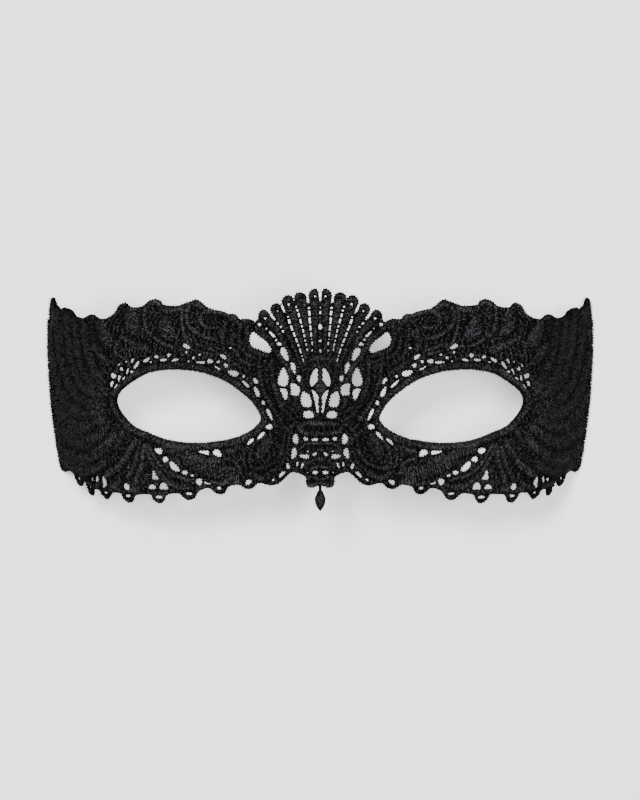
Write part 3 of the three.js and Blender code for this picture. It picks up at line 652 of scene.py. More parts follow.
@dataclass
class Relief:
    """Heights of the lace over its back: raised bands on a thin ground, rolled down at every edge. In mm. Also the
    painted light of the threads: painted highlights on crests, painted shade in grooves.
    """

    drawing: Drawing
    bands: list[Band]
    ground: float = 1.0
    back: float = 0.12
    roll: float = 0.7
    roll_foot: float = 0.55
    # These set how light the threads are painted: painted highlights on crests, painted shade in grooves and beside
    # raised bands, painted shade on the sides and ends that turn away from the light, darker threads near every edge
    # and in the middle below the fan tops.
    bare: float = 0.5
    deep: float = 0.95
    side_painted_shade: float = 0.42
    end_shade_from: float = 66.0
    end_shade_to: float = 74.0
    end_painted_shade: float = 0.3
    edge_shade: float = 0.62
    edge_reach: float = 0.8
    shadow: float = 0.1
    contrast: float = 1.2
    flat_from: float = 2.2
    side_shade_from: float = 54.0
    side_shade_to: float = 66.0
    middle_dark: float = 0.2
    middle_half: float = 22.0
    middle_top: float = 28.0
    middle_blend: float = 3.0
    tops: np.ndarray = field(default_factory=lambda: np.zeros((1, 1)))
    cover: np.ndarray = field(default_factory=lambda: np.zeros((1, 1)))
    painted_crest_light: np.ndarray = field(default_factory=lambda: np.zeros((1, 1)))
    lays: np.ndarray = field(default_factory=lambda: np.zeros((1, 1)))

    def build(self) -> None:
        """Work out the height, the cover and the painted light of crests and grooves on the drawing's grid."""
        rows, cols = self.drawing.depths.shape
        gap = 2 * self.drawing.step
        s = np.abs(np.arange(cols) * gap - self.drawing.half_length)
        v = np.arange(rows) * gap - self.drawing.half_height
        spots = np.stack(np.meshgrid(s, v), axis=-1)
        rise, cover, painted_crest_light = np.zeros((rows, cols)), np.zeros((rows, cols)), np.zeros((rows, cols))
        farthest, lays, plain = np.full((rows, cols), 9.0), np.zeros((rows, cols)), np.zeros((rows, cols))
        for one in self.bands:
            line = smooth(one.line, closed=one.closed, step=0.5)
            if one.closed:
                line = np.vstack([line, line[:1]])
            widest = 1.5 * max(one.wide)
            near = ((spots[..., 0] > line[:, 0].min() - widest) & (spots[..., 0] < line[:, 0].max() + widest)
                    & (spots[..., 1] > line[:, 1].min() - widest) & (spots[..., 1] < line[:, 1].max() + widest))
            away, along = distance_to(line, spots[near])
            ratio = away / half_width(one, along)
            share = np.clip(1 - ratio**2, 0, 1)
            rise[near] = np.maximum(rise[near], one.height * share**0.6)
            cover[near] = np.maximum(cover[near], np.clip(1 - ratio, 0, 1))
            # Painted highlight along each band's crest; the higher the band, the deeper the painted shade at its
            # sides.
            depth = min(1.0, one.height / self.deep)
            full = share ** (0.7 * min(1.0, self.flat_from / max(one.wide)))
            painted_crest_light[near] = np.maximum(painted_crest_light[near], full * depth + self.bare * (1 - depth) * (share > 0))
            way = np.diff(line, axis=0)
            index = np.minimum((along * len(way)).astype(int), len(way) - 1)
            turn = np.arctan2(way[index, 0], -way[index, 1]) - math.radians(one.lay.value)
            closer = ratio < farthest[near]
            lays[near] = np.where(closer, turn, lays[near])
            plain[near] = np.where(closer, 1 - depth, plain[near])
            farthest[near] = np.where(closer, ratio, farthest[near])
        inward = np.clip(self.drawing.depths / self.roll, 0, 1)
        rolled = self.roll_foot + (1 - self.roll_foot) * np.sqrt(1 - (1 - inward) ** 2)
        self.tops = self.back + (self.ground - self.back + rise) * rolled
        self.cover = cover
        # Painted shade in the grooves just beside raised bands, lighter farther out on bare ground.
        away = np.clip((farthest - 1) / 0.8, 0, 1)
        self.painted_crest_light = np.maximum(painted_crest_light, self.bare * (plain + (1 - plain) * away))
        self.lays = lays

    def top(self, points: np.ndarray) -> np.ndarray:
        """Height of the front face at points."""
        return self.drawing.read(self.tops, points)

    def shine(self, points: np.ndarray) -> np.ndarray:
        """How light the threads are painted at points: painted highlights on crests, painted shade in grooves, painted
        shade on the sides and ends that turn away from the light, darker near every edge and in the middle below the
        fan tops.
        """
        reach = np.abs(points[..., 0])
        # Painted shade on the sides and the ends, which turn away from the light.
        past = np.clip((reach - self.side_shade_from) / (self.side_shade_to - self.side_shade_from), 0, 1)
        end = 1 - self.end_painted_shade * np.clip((reach - self.end_shade_from) / (self.end_shade_to - self.end_shade_from), 0, 1)
        inside = np.clip((self.middle_half - reach) / self.middle_blend, 0, 1)
        under = np.clip((self.middle_top - points[..., 1]) / self.middle_blend, 0, 1)
        end *= 1 - self.middle_dark * inside * under
        crest_light = self.drawing.read(self.painted_crest_light, points)
        inner = np.clip(self.drawing.depth(points) / self.edge_reach, 0, 1)
        edge = 1 - self.edge_shade * (1 - inner)
        return (self.shadow + (1 - self.shadow) * crest_light**self.contrast) * (1 - self.side_painted_shade * past) * end * edge


def distance_to(line: np.ndarray, points: np.ndarray) -> tuple[np.ndarray, np.ndarray]:
    """Distance of points to a line, and how far along it the nearest spot is.

    Args:
        line: The line's points.
        points: Points, (n, 2).

    Returns:
        Distances in mm, and shares of the line's length from 0 to 1.
    """
    start, way = line[:-1], np.diff(line, axis=0)
    size = np.maximum(np.sum(way**2, axis=1), 1e-12)
    best, share = np.full(len(points), 1e9), np.zeros(len(points))
    for i in range(len(way)):
        t = np.clip((points - start[i]) @ way[i] / size[i], 0, 1)
        away = np.linalg.norm(points - start[i] - t[:, None] * way[i], axis=1)
        nearer = away < best
        best[nearer] = away[nearer]
        share[nearer] = (i + t[nearer]) / len(way)
    return best, share


def half_width(one: Band, along: np.ndarray) -> np.ndarray:
    """Half the width of a band at shares of its length; an open band narrows at its ends."""
    even = 0.5 * (one.wide[0] + (one.wide[1] - one.wide[0]) * along)
    if one.closed:
        return even
    close = np.clip(np.minimum(along, 1 - along) / 0.08, 0, 1)
    return even * (0.5 + 0.5 * np.sqrt(1 - (1 - close) ** 2))


@dataclass
class Stitches:
    """Threads laid on the relief, each from one spot to another, that become one mesh. Sizes in mm."""

    name: str
    drawing: Drawing
    relief: Relief
    form: Form
    seed: int
    radius: float = 0.19
    flatness: float = 0.95
    rings: int = 5
    overhang: float = 0.15
    sink: float = 0.3
    taper: float = 0.4
    shade: float = 1.0
    least: float = 0.38
    # Painted shade at the ends of each thread, where it sinks between its neighbours.
    sunk_painted_shade: float = 0.6
    spread: float = 1.2
    fade: float = 0.0
    starts: list[np.ndarray] = field(default_factory=list)
    ends: list[np.ndarray] = field(default_factory=list)
    lifts: list[float] = field(default_factory=list)
    loose: list[float] = field(default_factory=list)
    tints: list[float] = field(default_factory=list)

    def add(self, start: np.ndarray, end: np.ndarray, lift: float = 0.0, loose: float = 0.0,
            tint: float = 1.0) -> None:
        """Note one thread.

        Args:
            start: One end, s and v.
            end: The other end.
            lift: How far it lies over its neighbours.
            loose: 1 for a thread whose ends get no painted shade where they sink.
            tint: How light it is beside its neighbours.
        """
        self.starts.append(np.asarray(start, float))
        self.ends.append(np.asarray(end, float))
        self.lifts.append(lift)
        self.loose.append(loose)
        self.tints.append(tint)

    def _clipped(self, start: np.ndarray, end: np.ndarray) -> tuple[np.ndarray, np.ndarray, np.ndarray]:
        """Cut each thread back to the stretch round its middle that lies on the lace.

        Args:
            start: First ends, (n, 2).
            end: Other ends.

        Returns:
            The new ends, and which threads are kept.
        """
        samples = 13
        share = np.linspace(0, 1, samples)
        spots = start[:, None] + (end - start)[:, None] * share[None, :, None]
        on = self.drawing.depth(spots) > -self.overhang
        middle = samples // 2
        order = sorted(range(samples), key=lambda i: abs(i - middle))
        seed = np.full(len(start), -1)
        for i in order:
            seed[(seed < 0) & on[:, i]] = i
        low, high = seed.copy(), seed.copy()
        for _ in range(samples):
            rows = np.arange(len(start))
            down = (low > 0) & on[rows, np.maximum(low - 1, 0)]
            up = (high < samples - 1) & (high >= 0) & on[rows, np.minimum(high + 1, samples - 1)]
            low, high = low - down, high + up
        kept = seed >= 0
        a = start + (end - start) * share[np.maximum(low, 0)][:, None]
        b = start + (end - start) * share[np.maximum(high, 0)][:, None]
        kept &= np.linalg.norm(b - a, axis=1) > 0.5
        return a, b, kept

    def build(self) -> bpy.types.Object:
        """Make the mesh of all the threads.

        Returns:
            The object, at the origin.
        """
        rng = np.random.default_rng(self.seed)
        start, end, kept = self._clipped(np.array(self.starts), np.array(self.ends))
        start, end, lift = start[kept], end[kept], np.array(self.lifts)[kept]
        count, rings = len(start), self.rings
        share = np.linspace(0, 1, rings)
        way = end - start
        length = np.linalg.norm(way, axis=1)
        side = unit(way)[:, ::-1] * (-1, 1)
        bow = rng.normal(0, 0.05, count)[:, None] * np.sin(math.pi * share)
        path = start[:, None] + way[:, None] * share[None, :, None] + side[:, None] * bow[..., None]
        arch = np.sin(math.pi * np.clip(share, 0.02, 0.98)) ** 0.6
        fresh = rng.uniform(-0.05, 0.07, count)
        height = (self.relief.top(path) - self.sink * (1 - arch)[None] + 0.3 * self.radius
                  + (lift + fresh)[:, None])
        spine = np.concatenate([path, height[..., None]], axis=2)
        tangent = unit(np.gradient(spine, axis=1))
        across = np.concatenate([side, np.zeros((count, 1))], axis=1)[:, None] + np.zeros_like(spine)
        up = unit(np.cross(tangent, across)) * -1
        up *= np.sign(up[..., 2:] + 1e-9)
        thick = self.radius * rng.uniform(0.85, 1.12, count)[:, None] * (1 - self.taper * (1 - arch))[None]
        angle = np.arange(4) * math.pi / 2
        ring = (spine[:, :, None] + across[:, :, None] * (thick[..., None] * np.sin(angle))[..., None]
                + up[:, :, None] * (self.flatness * thick[..., None] * np.cos(angle))[..., None])
        # The tone mixes a random tone for each thread with painted light: the relief's painted highlights and shade,
        # darker upwards on the eye rim, and painted shade at the sunk ends of each thread.
        sunk_shade = self.sunk_painted_shade * (1 - np.array(self.loose)[kept])
        own = self.least + (1 - self.least) * rng.random(count) ** self.spread
        own *= self.shade * np.array(self.tints)[kept]
        tone = own[:, None] * self.relief.shine(path) * (1 - self.fade * path[..., 1])
        tone = np.minimum(1, tone * (1 - sunk_shade[:, None] * (1 - arch**2)[None]))
        return thread_mesh(self.name, self.form.place(ring.reshape(-1, 3)), count, rings, length, tone)


def thread_mesh(name: str, points: np.ndarray, count: int, rings: int, length: np.ndarray,
                tone: np.ndarray) -> bpy.types.Object:
    """Closed four-sided tubes as one mesh, with a map along each thread and a tone for each thread, which holds random
    tone and painted light.

    Args:
        name: The piece's name.
        points: Vertices, four to a ring, ring after ring and thread after thread, in metres.
        count: How many threads there are.
        rings: Rings to a thread.
        length: Length of each thread in mm.
        tone: A number from 0 to 1 for each ring of each thread, random tone and painted light together.

    Returns:
        The object, linked to the scene.
    """
    sides = 4
    first = np.arange(count)[:, None, None] * rings * sides + np.arange(rings - 1)[None, :, None] * sides
    side = np.arange(sides)
    nxt = (side + 1) % sides
    walls = np.stack([first + side, first + sides + side, first + sides + nxt, first + nxt], axis=-1).reshape(
        count, -1, 4)
    base = np.arange(count)[:, None] * rings * sides
    cap_start = (base + np.array([0, 1, 2, 3]))[:, None]
    cap_end = (base + (rings - 1) * sides + np.array([3, 2, 1, 0]))[:, None]
    faces = np.concatenate([walls, cap_start, cap_end], axis=1)
    along = np.linspace(0, 1, rings)[:-1][:, None] + np.zeros(sides)
    step = 1 / (rings - 1)
    u = np.stack([along, along + step, along + step, along], axis=-1).reshape(1, -1, 4) * length[:, None, None]
    w = np.stack([side, side, side + 1, side + 1], axis=-1) / sides
    w = np.broadcast_to(w, (rings - 1, sides, 4)).reshape(1, -1, 4) + np.zeros((count, 1, 1))
    ends = np.zeros((count, 2, 4))
    uv = np.stack([np.concatenate([u, ends], axis=1), np.concatenate([w, ends], axis=1)], axis=-1)
    if signed_volume(points, faces[0]) < 0:
        faces, uv = faces[..., ::-1], uv[..., ::-1, :]
    made = mesh_of(name, points, faces.reshape(-1, 4), uv.reshape(-1, 2))
    shade = made.data.attributes.new("tone_and_painted_light", "FLOAT", "POINT")
    shade.data.foreach_set("value", np.repeat(tone.ravel(), sides).astype(np.float32))
    return made


def signed_volume(points: np.ndarray, faces: np.ndarray) -> float:
    """Volume inside some closed faces, negative where they point inwards."""
    corner = points[faces]
    total = 0.0
    for k in range(1, corner.shape[1] - 1):
        total += float(np.sum(np.cross(corner[:, 0], corner[:, k]) * corner[:, k + 1]))
    return total / 6


def mesh_of(name: str, points: np.ndarray, faces: np.ndarray,
            uv: Optional[np.ndarray] = None) -> bpy.types.Object:
    """A smooth-shaded mesh object from arrays.

    Args:
        name: The piece's name.
        points: Vertices in metres, (n, 3).
        faces: Vertex numbers, (m, corners).
        uv: A map for every face corner, or None.

    Returns:
        The object, linked to the scene.
    """
    mesh = bpy.data.meshes.new(name)
    corners = faces.shape[1]
    mesh.vertices.add(len(points))
    mesh.vertices.foreach_set("co", points.astype(np.float32).ravel())
    mesh.loops.add(faces.size)
    mesh.loops.foreach_set("vertex_index", faces.astype(np.int32).ravel())
    mesh.polygons.add(len(faces))
    mesh.polygons.foreach_set("loop_start", np.arange(0, faces.size, corners, dtype=np.int32))
    mesh.polygons.foreach_set("use_smooth", np.ones(len(faces), bool))
    if uv is not None:
        mesh.uv_layers.new(name="thread_map").data.foreach_set("uv", uv.astype(np.float32).ravel())
    mesh.update(calc_edges=True)
    made = bpy.data.objects.new(name, mesh)
    bpy.context.scene.collection.objects.link(made)
    return made


@dataclass
class Embroiderer:
    """Lays threads in bands, round edges and over what is left bare. Sizes in mm."""

    drawing: Drawing
    relief: Relief
    form: Form
    pitch: float = 0.5
    longest: float = 1.35
    edge_reach: float = 1.2
    edge_overhang: float = 0.3
    hole_overhang: float = 0.2
    fill_length: float = 1.5

    def work(self, name: str, seed: int) -> Stitches:
        """An empty set of stitches with a name and a seed."""
        return Stitches(name, self.drawing, self.relief, self.form, seed)

    def satin(self, cloth: Stitches, one: Band, mirror: int, rng: np.random.Generator) -> None:
        """Cover one band with threads that lie across it.

        Args:
            cloth: The stitches to add to.
            one: The band.
            mirror: 1 for the right half, -1 for the left.
            rng: Source of small differences.
        """
        line = smooth(one.line, closed=one.closed, step=self.pitch)
        way = unit(np.gradient(line, axis=0))
        turn = math.radians(one.lay.value)
        normal = way[:, ::-1] * (-1, 1)
        lay = normal * math.cos(turn) - way * math.sin(turn)
        half = half_width(one, np.linspace(0, 1, len(line))) / math.cos(turn) + 0.12
        for row, (at, out, reach) in enumerate(zip(line, lay, half)):
            tilt = rng.normal(0, 0.05 + 0.25 * one.loose)
            out = out + normal[row][::-1] * (-tilt, tilt)
            at = at + way[row] * rng.normal(0, 0.04)
            parts = max(1, int(round(2 * reach / self.longest)))
            size = 2 * reach / parts
            stagger = rng.random() if one.loose > 0.5 else (row % 3) / 3
            offset = 0.0 if parts == 1 else stagger * size
            cuts = np.clip(np.arange(parts + 2) * size - reach - offset, -reach, reach)
            cuts[1:-1] += rng.normal(0, 0.06, len(cuts) - 2)
            cuts += one.loose * rng.normal(0, 0.35)
            for low, high in zip(cuts[:-1], cuts[1:]):
                if high - low > 0.35:
                    a, b = at + out * (low - 0.1), at + out * (high + 0.1)
                    cloth.add(a * (mirror, 1), b * (mirror, 1), rng.normal(0, 0.06) * one.loose, one.loose,
                              one.tint)

    def edging(self, cloth: Stitches, number: int, keep: Iterable[int], lift: float = 0.05) -> None:
        """Wrap an edge with short threads that run in from it, or right across where the lace is narrow.

        Args:
            cloth: The stitches to add to.
            number: Number of the edge; 0 is the outline.
            keep: Signs of s that are wanted.
            lift: How far the threads stand over the rest.
        """
        rng = np.random.default_rng(SEED + 31 * number)
        line = self.drawing.along(number, 1)
        way = unit(np.roll(line, -1, axis=0) - np.roll(line, 1, axis=0))
        inward = way[:, ::-1] * (-1, 1) * (1 if number == 0 else -1)
        steps = np.arange(1, int(self.edge_reach / self.drawing.step) + 4) * self.drawing.step
        overhang = (self.edge_overhang if number == 0
                    else min(self.hole_overhang, 0.3 * self.drawing.narrowest(number)))
        for at, into in zip(line, inward):
            if np.sign(at[0] + 1e-6) not in keep:
                continue
            marks = self.drawing.label(at + into * steps[:, None])
            off = np.flatnonzero(marks[1:] != 0)
            reach = self.edge_reach * rng.uniform(0.8, 1.15)
            if off.size:
                other = int(marks[off[0] + 1])
                across = steps[off[0] + 1]
                if other != number and (number == 0 or 0 < other < number) and self._wrapped(other):
                    continue
                reach = min(reach, across) if across > self.edge_reach else across + 0.12
            lean = np.array([-into[1], into[0]]) * rng.normal(0.08, 0.07)
            out = overhang * rng.uniform(0.6, 1.4)
            cloth.add(at - into * out, at + (into + lean) * reach, lift)

    def ties(self, name: str, mirror: int) -> bpy.types.Object:
        """Hair-thin ties across the gaps between the rays of the fan.

        Args:
            name: The piece's name.
            mirror: 1 for the right half, -1 for the left.

        Returns:
            The ties as one piece.
        """
        cloth = Stitches(name, self.drawing, self.relief, self.form, SEED + mirror, radius=0.2, overhang=9, sink=0)
        for line, wide, heights in RAY_GAPS:
            middle = smooth(line, step=0.1) + SHIFT
            side = unit(np.gradient(middle, axis=0))[:, ::-1] * (-1, 1)
            for v in heights:
                spot = int(np.argmin(np.abs(middle[:, 1] - v)))
                reach = side[spot] * (max(wide) + 0.2)
                for offset in (-0.12, 0.12):
                    at = middle[spot] + (0, offset)
                    cloth.add((at - reach) * (mirror, 1), (at + reach) * (mirror, 1))
        return cloth.build()

    def _wrapped(self, number: int) -> bool:
        """Whether an edge has threads of its own round it."""
        return number > 0 and self.drawing.bound[number]

    def fill(self, cloth: Stitches, box: tuple[float, float, float, float], mirror: int,
             rng: np.random.Generator) -> None:
        """Lay short rows of threads where no band covers the ground.

        Args:
            cloth: The stitches to add to.
            box: Lowest s, highest s, lowest v and highest v of the patch, on the right half.
            mirror: 1 for the right half, -1 for the left.
            rng: Source of small differences.
        """
        rows = np.arange(box[2], box[3], self.pitch)
        for v in rows:
            shift = rng.random() * self.fill_length
            for s in np.arange(box[0] - shift, box[1], self.fill_length):
                at = np.array([s + rng.normal(0, 0.15), v + rng.normal(0, 0.06)])
                if at[0] < 0 or self.drawing.depth(at) < 0.35 or self.drawing.read(self.relief.cover, at) > 0.2:
                    continue
                turn = float(self.drawing.read(self.relief.lays, at)) + rng.normal(0, 0.5)
                half = np.array([math.cos(turn), math.sin(turn)]) * self.fill_length * rng.uniform(0.38, 0.6)
                cloth.add((at - half) * (mirror, 1), (at + half) * (mirror, 1), rng.normal(0, 0.04))


@dataclass
class Ground:
    """The lace under its top threads: one closed textile with every opening. Sizes in mm."""

    drawing: Drawing
    relief: Relief
    form: Form
    spacing: float = 0.62
    edge_parts: int = 3
    edge_outset: float = 0.06
    outline_outset: float = 0.12
    edge_wobble: float = 0.05
    edge_wave: float = 0.18
    hole_wave: float = 0.1
    thinnest: float = 0.5
    under: float = 0.16
    back_relief: float = 0.45
    plain_from: float = 99.0
    plain_blend: float = 6.0

    def _inner_points(self) -> np.ndarray:
        """Places inside the lace, on a grid of even triangles, kept off the edges."""
        height = self.spacing * math.sqrt(3) / 2
        rows = np.arange(-33, 33, height)
        grid = np.vstack([np.stack([np.arange(-103, 103, self.spacing) + (n % 2) * self.spacing / 2,
                                    np.full(int(np.ceil(206 / self.spacing)), v)], axis=1)
                          for n, v in enumerate(rows)])
        return grid[self.drawing.depth(grid) > 0.4]

    def _loops(self) -> list[np.ndarray]:
        """The drawing's edges, drawn out a little under each wrapping thread and where a bar would be too thin."""
        loops = []
        rng = np.random.default_rng(SEED)
        for number in range(len(self.drawing.edges)):
            line = self.drawing.along(number, self.edge_parts)
            way = unit(np.roll(line, -1, axis=0) - np.roll(line, 1, axis=0))
            out = way[:, ::-1] * (1, -1) * (1 if number == 0 else -1)
            room = -self.drawing.depth(line + out * 0.3)
            wave = self.edge_wave if number == 0 else min(self.hole_wave, 0.15 * self.drawing.narrowest(number))
            push = (self.edge_outset if number else self.outline_outset) + wave * np.cos(
                2 * math.pi * np.arange(len(line)) / self.edge_parts)
            push += self.edge_wobble * rng.uniform(-1, 1, len(line))
            missing = self.thinnest / 2 - self.drawing.depth(line - out * self.thinnest / 2)
            push += 0.5 * np.clip(missing, 0, self.thinnest / 2)
            loops.append(line + out * (push * np.clip(room / 0.25, 0, 1))[:, None])
        return loops

    def _inside(self, points: np.ndarray, loops: list[np.ndarray]) -> np.ndarray:
        """Whether points lie on the lace, exactly where they are close to an edge."""
        depth = self.drawing.depth(points)
        result = depth > 0
        near = np.flatnonzero(np.abs(depth) < 0.35)
        s, v = points[near, 0], points[near, 1]
        odd = np.zeros(len(near), bool)
        for edge in loops:
            for (s0, v0), (s1, v1) in zip(edge, np.roll(edge, -1, axis=0)):
                if v0 != v1:
                    crossed = (v0 > v) != (v1 > v)
                    odd ^= crossed & (s < s0 + (v - v0) * (s1 - s0) / (v1 - v0))
        result[near] = odd
        return result

    def build(self) -> bpy.types.Object:
        """Triangulate the drawing and give it a front, a back and edges.

        Returns:
            The ground as one closed object.
        """
        loops = self._loops()
        border = np.vstack(loops)
        links, first = [], 0
        for loop in loops:
            links += [(first + i, first + (i + 1) % len(loop)) for i in range(len(loop))]
            first += len(loop)
        places = np.vstack([border, self._inner_points()])
        made = geometry.delaunay_2d_cdt([Vector(p) for p in places], links, [], 0, 1e-5, False)
        flat = np.array([tuple(p) for p in made[0]])
        faces = np.array([f for f in made[2] if len(f) == 3])
        faces = faces[self._inside(flat[faces].mean(axis=1), loops)]
        corner = flat[faces]
        turned = np.cross(corner[:, 1] - corner[:, 0], corner[:, 2] - corner[:, 0]) < 0
        faces[turned] = faces[turned][:, ::-1]
        used, faces = np.unique(faces, return_inverse=True)
        flat, faces = flat[used], faces.reshape(-1, 3)
        count = len(flat)
        sides = np.vstack([faces[:, [0, 1]], faces[:, [1, 2]], faces[:, [2, 0]]])
        keys = {(a, b) for a, b in sides.tolist()}
        rim = np.array([(a, b) for a, b in keys if (b, a) not in keys])
        depth = self.drawing.depth(flat)
        top = self.relief.top(flat) - self.under
        low = self.relief.back * (1 - np.clip(depth / 0.5, 0, 1)) * 1.6
        low += 0.1 * np.sin(flat[:, 0] * 5.2 + flat[:, 1] * 1.3) * np.clip(depth, 0, 0.5) + 0.04
        room = np.clip((self.plain_from - np.abs(flat[:, 0])) / self.plain_blend, 0, 1)
        low -= self.back_relief * room * self.drawing.read(self.relief.cover, flat)
        points = np.vstack([np.column_stack([flat, top]), np.column_stack([flat, np.minimum(low, top - 0.25)])])
        walls = np.vstack([np.column_stack([rim[:, 1], rim[:, 0], rim[:, 0] + count]),
                           np.column_stack([rim[:, 1], rim[:, 0] + count, rim[:, 1] + count])])
        every = np.vstack([faces, faces[:, ::-1] + count, walls])
        uv = points[every.ravel()][:, :2]
        ground = mesh_of("lace_ground", self.form.place(points), every, uv)
        # The back gets 1, which the ground's material paints lighter as painted light on the shaded back.
        tone = ground.data.attributes.new("tone_and_painted_light", "FLOAT", "POINT")
        tone.data.foreach_set("value", np.repeat([0.0, 1.0], count).astype(np.float32))
        return ground


class Wire:
    """A shader socket that can be used in arithmetic."""

    def __init__(self, bench: "Bench", socket: bpy.types.NodeSocket) -> None:
        """Keep the socket and the bench that makes nodes for it."""
        self.bench = bench
        self.socket = socket

    def _with(self, operation: str, first: object, second: object) -> "Wire":
        """A Math node on two values."""
        return self.bench.node("ShaderNodeMath", {"operation": operation}, {0: first, 1: second})

    def __add__(self, other: object) -> "Wire":
        """Sum."""
        return self._with("ADD", self, other)

    __radd__ = __add__

    def __mul__(self, other: object) -> "Wire":
        """Product."""
        return self._with("MULTIPLY", self, other)

    __rmul__ = __mul__

    def __sub__(self, other: object) -> "Wire":
        """Difference."""
        return self._with("SUBTRACT", self, other)

    def __rsub__(self, other: object) -> "Wire":
        """Difference, the other way round."""
        return self._with("SUBTRACT", other, self)


class Bench:
    """Makes the nodes of one material."""

    def __init__(self, name: str) -> None:
        """Start a material with a bare surface shader."""
        self.material = bpy.data.materials.new(name)
        self.material.use_nodes = True
        self.tree = self.material.node_tree
        self.shader = next(n for n in self.tree.nodes if n.type == "BSDF_PRINCIPLED")

    def node(self, kind: str, settings: dict[str, object], sockets: dict[object, object],
             out: object = 0) -> Wire:
        """Add one node.

        Args:
            kind: The node's type.
            settings: Settings of the node itself, such as its operation.
            sockets: Values or wires of its inputs, by name or number.
            out: The output that is wanted.

        Returns:
            That output.
        """
        made = self.tree.nodes.new(kind)
        for name, value in settings.items():
            setattr(made, name, value)
        for name, value in sockets.items():
            self.feed(made.inputs[name], value)
        return Wire(self, made.outputs[out])

    def feed(self, socket: bpy.types.NodeSocket, value: object) -> None:
        """Give an input a value or a wire."""
        if isinstance(value, Wire):
            self.tree.links.new(value.socket, socket)
        else:
            socket.default_value = value

    def mix(self, factor: object, low: object, high: object) -> Wire:
        """A colour between two others."""
        return self.node("ShaderNodeMix", {"data_type": "RGBA"}, {"Factor": factor, 6: low, 7: high}, 2)

    def map(self, name: str) -> Wire:
        """The piece's own UV map."""
        return self.node("ShaderNodeUVMap", {"uv_map": name}, {})

    def scaled(self, vector: Wire, size: tuple[float, float, float]) -> Wire:
        """A vector stretched along its axes."""
        return self.node("ShaderNodeVectorMath", {"operation": "MULTIPLY"}, {0: vector, 1: size})


@dataclass(frozen=True)
class ThreadFinish:
    """Black polyester embroidery thread: two twisted strands with a soft gloss, and painted glints and shade in its
    colour.
    """

    name: str = "black_thread"
    dark: tuple[float, float, float] = (0.001, 0.001, 0.0011)
    light: tuple[float, float, float] = (0.063, 0.066, 0.07)
    rough: float = 0.4
    rough_spread: float = 0.2
    specular: float = 0.006
    # Scales of the painted glints: a fine speckle and small cells.
    painted_speckle: float = 2400.0
    painted_glint: float = 4000.0
    twist: float = 1.5
    bump: float = 0.00003

    def make(self) -> bpy.types.Material:
        """The material, with strands along the thread map, a tone for each thread that carries painted light, and
        painted glints.
        """
        bench = Bench(self.name)
        place = bench.node("ShaderNodeTexCoord", {}, {}, "Object")
        tone = bench.node("ShaderNodeAttribute", {"attribute_name": "tone_and_painted_light"}, {}, "Fac")
        cloud = bench.node("ShaderNodeTexNoise", {}, {"Vector": place, "Scale": 330.0, "Detail": 3.0})
        fibre_map = bench.scaled(bench.map("thread_map"), (1.2, 9.0, 1.0))
        fibre = bench.node("ShaderNodeTexNoise", {}, {"Vector": fibre_map, "Scale": 2.2, "Detail": 2.0})
        strand_map = bench.scaled(bench.map("thread_map"), (self.twist, 2.0, 1.0))
        split = bench.node("ShaderNodeSeparateXYZ", {}, {0: strand_map})
        turn = (split + Wire(bench, split.socket.node.outputs[1])) * (2 * math.pi)
        ply = bench.node("ShaderNodeMath", {"operation": "SINE"}, {0: turn})
        # Painted glints: the fine speckle and the small cells scatter painted highlights over the threads.
        grain = bench.node("ShaderNodeTexNoise", {}, {"Vector": place, "Scale": self.painted_speckle, "Detail": 1.0})
        cells = bench.node("ShaderNodeTexVoronoi", {}, {"Vector": place, "Scale": self.painted_glint}, "Color")
        painted_glint = bench.node("ShaderNodeSeparateXYZ", {}, {0: cells})
        # The tone carries the painted light of the relief, the glints are painted highlights, and the fibre and cloud
        # noise vary the tone at random.
        mask = tone * (1 + (painted_glint - 0.5) * 4.4 + (grain - 0.5) * 4.5 + (fibre - 0.5) * 0.8 + (cloud - 0.5) * 1.4)
        bench.feed(bench.shader.inputs["Base Color"], bench.mix(mask, (*self.dark, 1), (*self.light, 1)))
        bench.feed(bench.shader.inputs["Roughness"], self.rough + (tone - 0.5) * self.rough_spread + (fibre - 0.5) * 0.2)
        bench.shader.inputs["Specular IOR Level"].default_value = self.specular
        bump = bench.node("ShaderNodeBump", {}, {"Height": ply * 0.5 + fibre, "Strength": 0.6, "Distance": self.bump})
        bench.feed(bench.shader.inputs["Normal"], bump)
        return bench.material


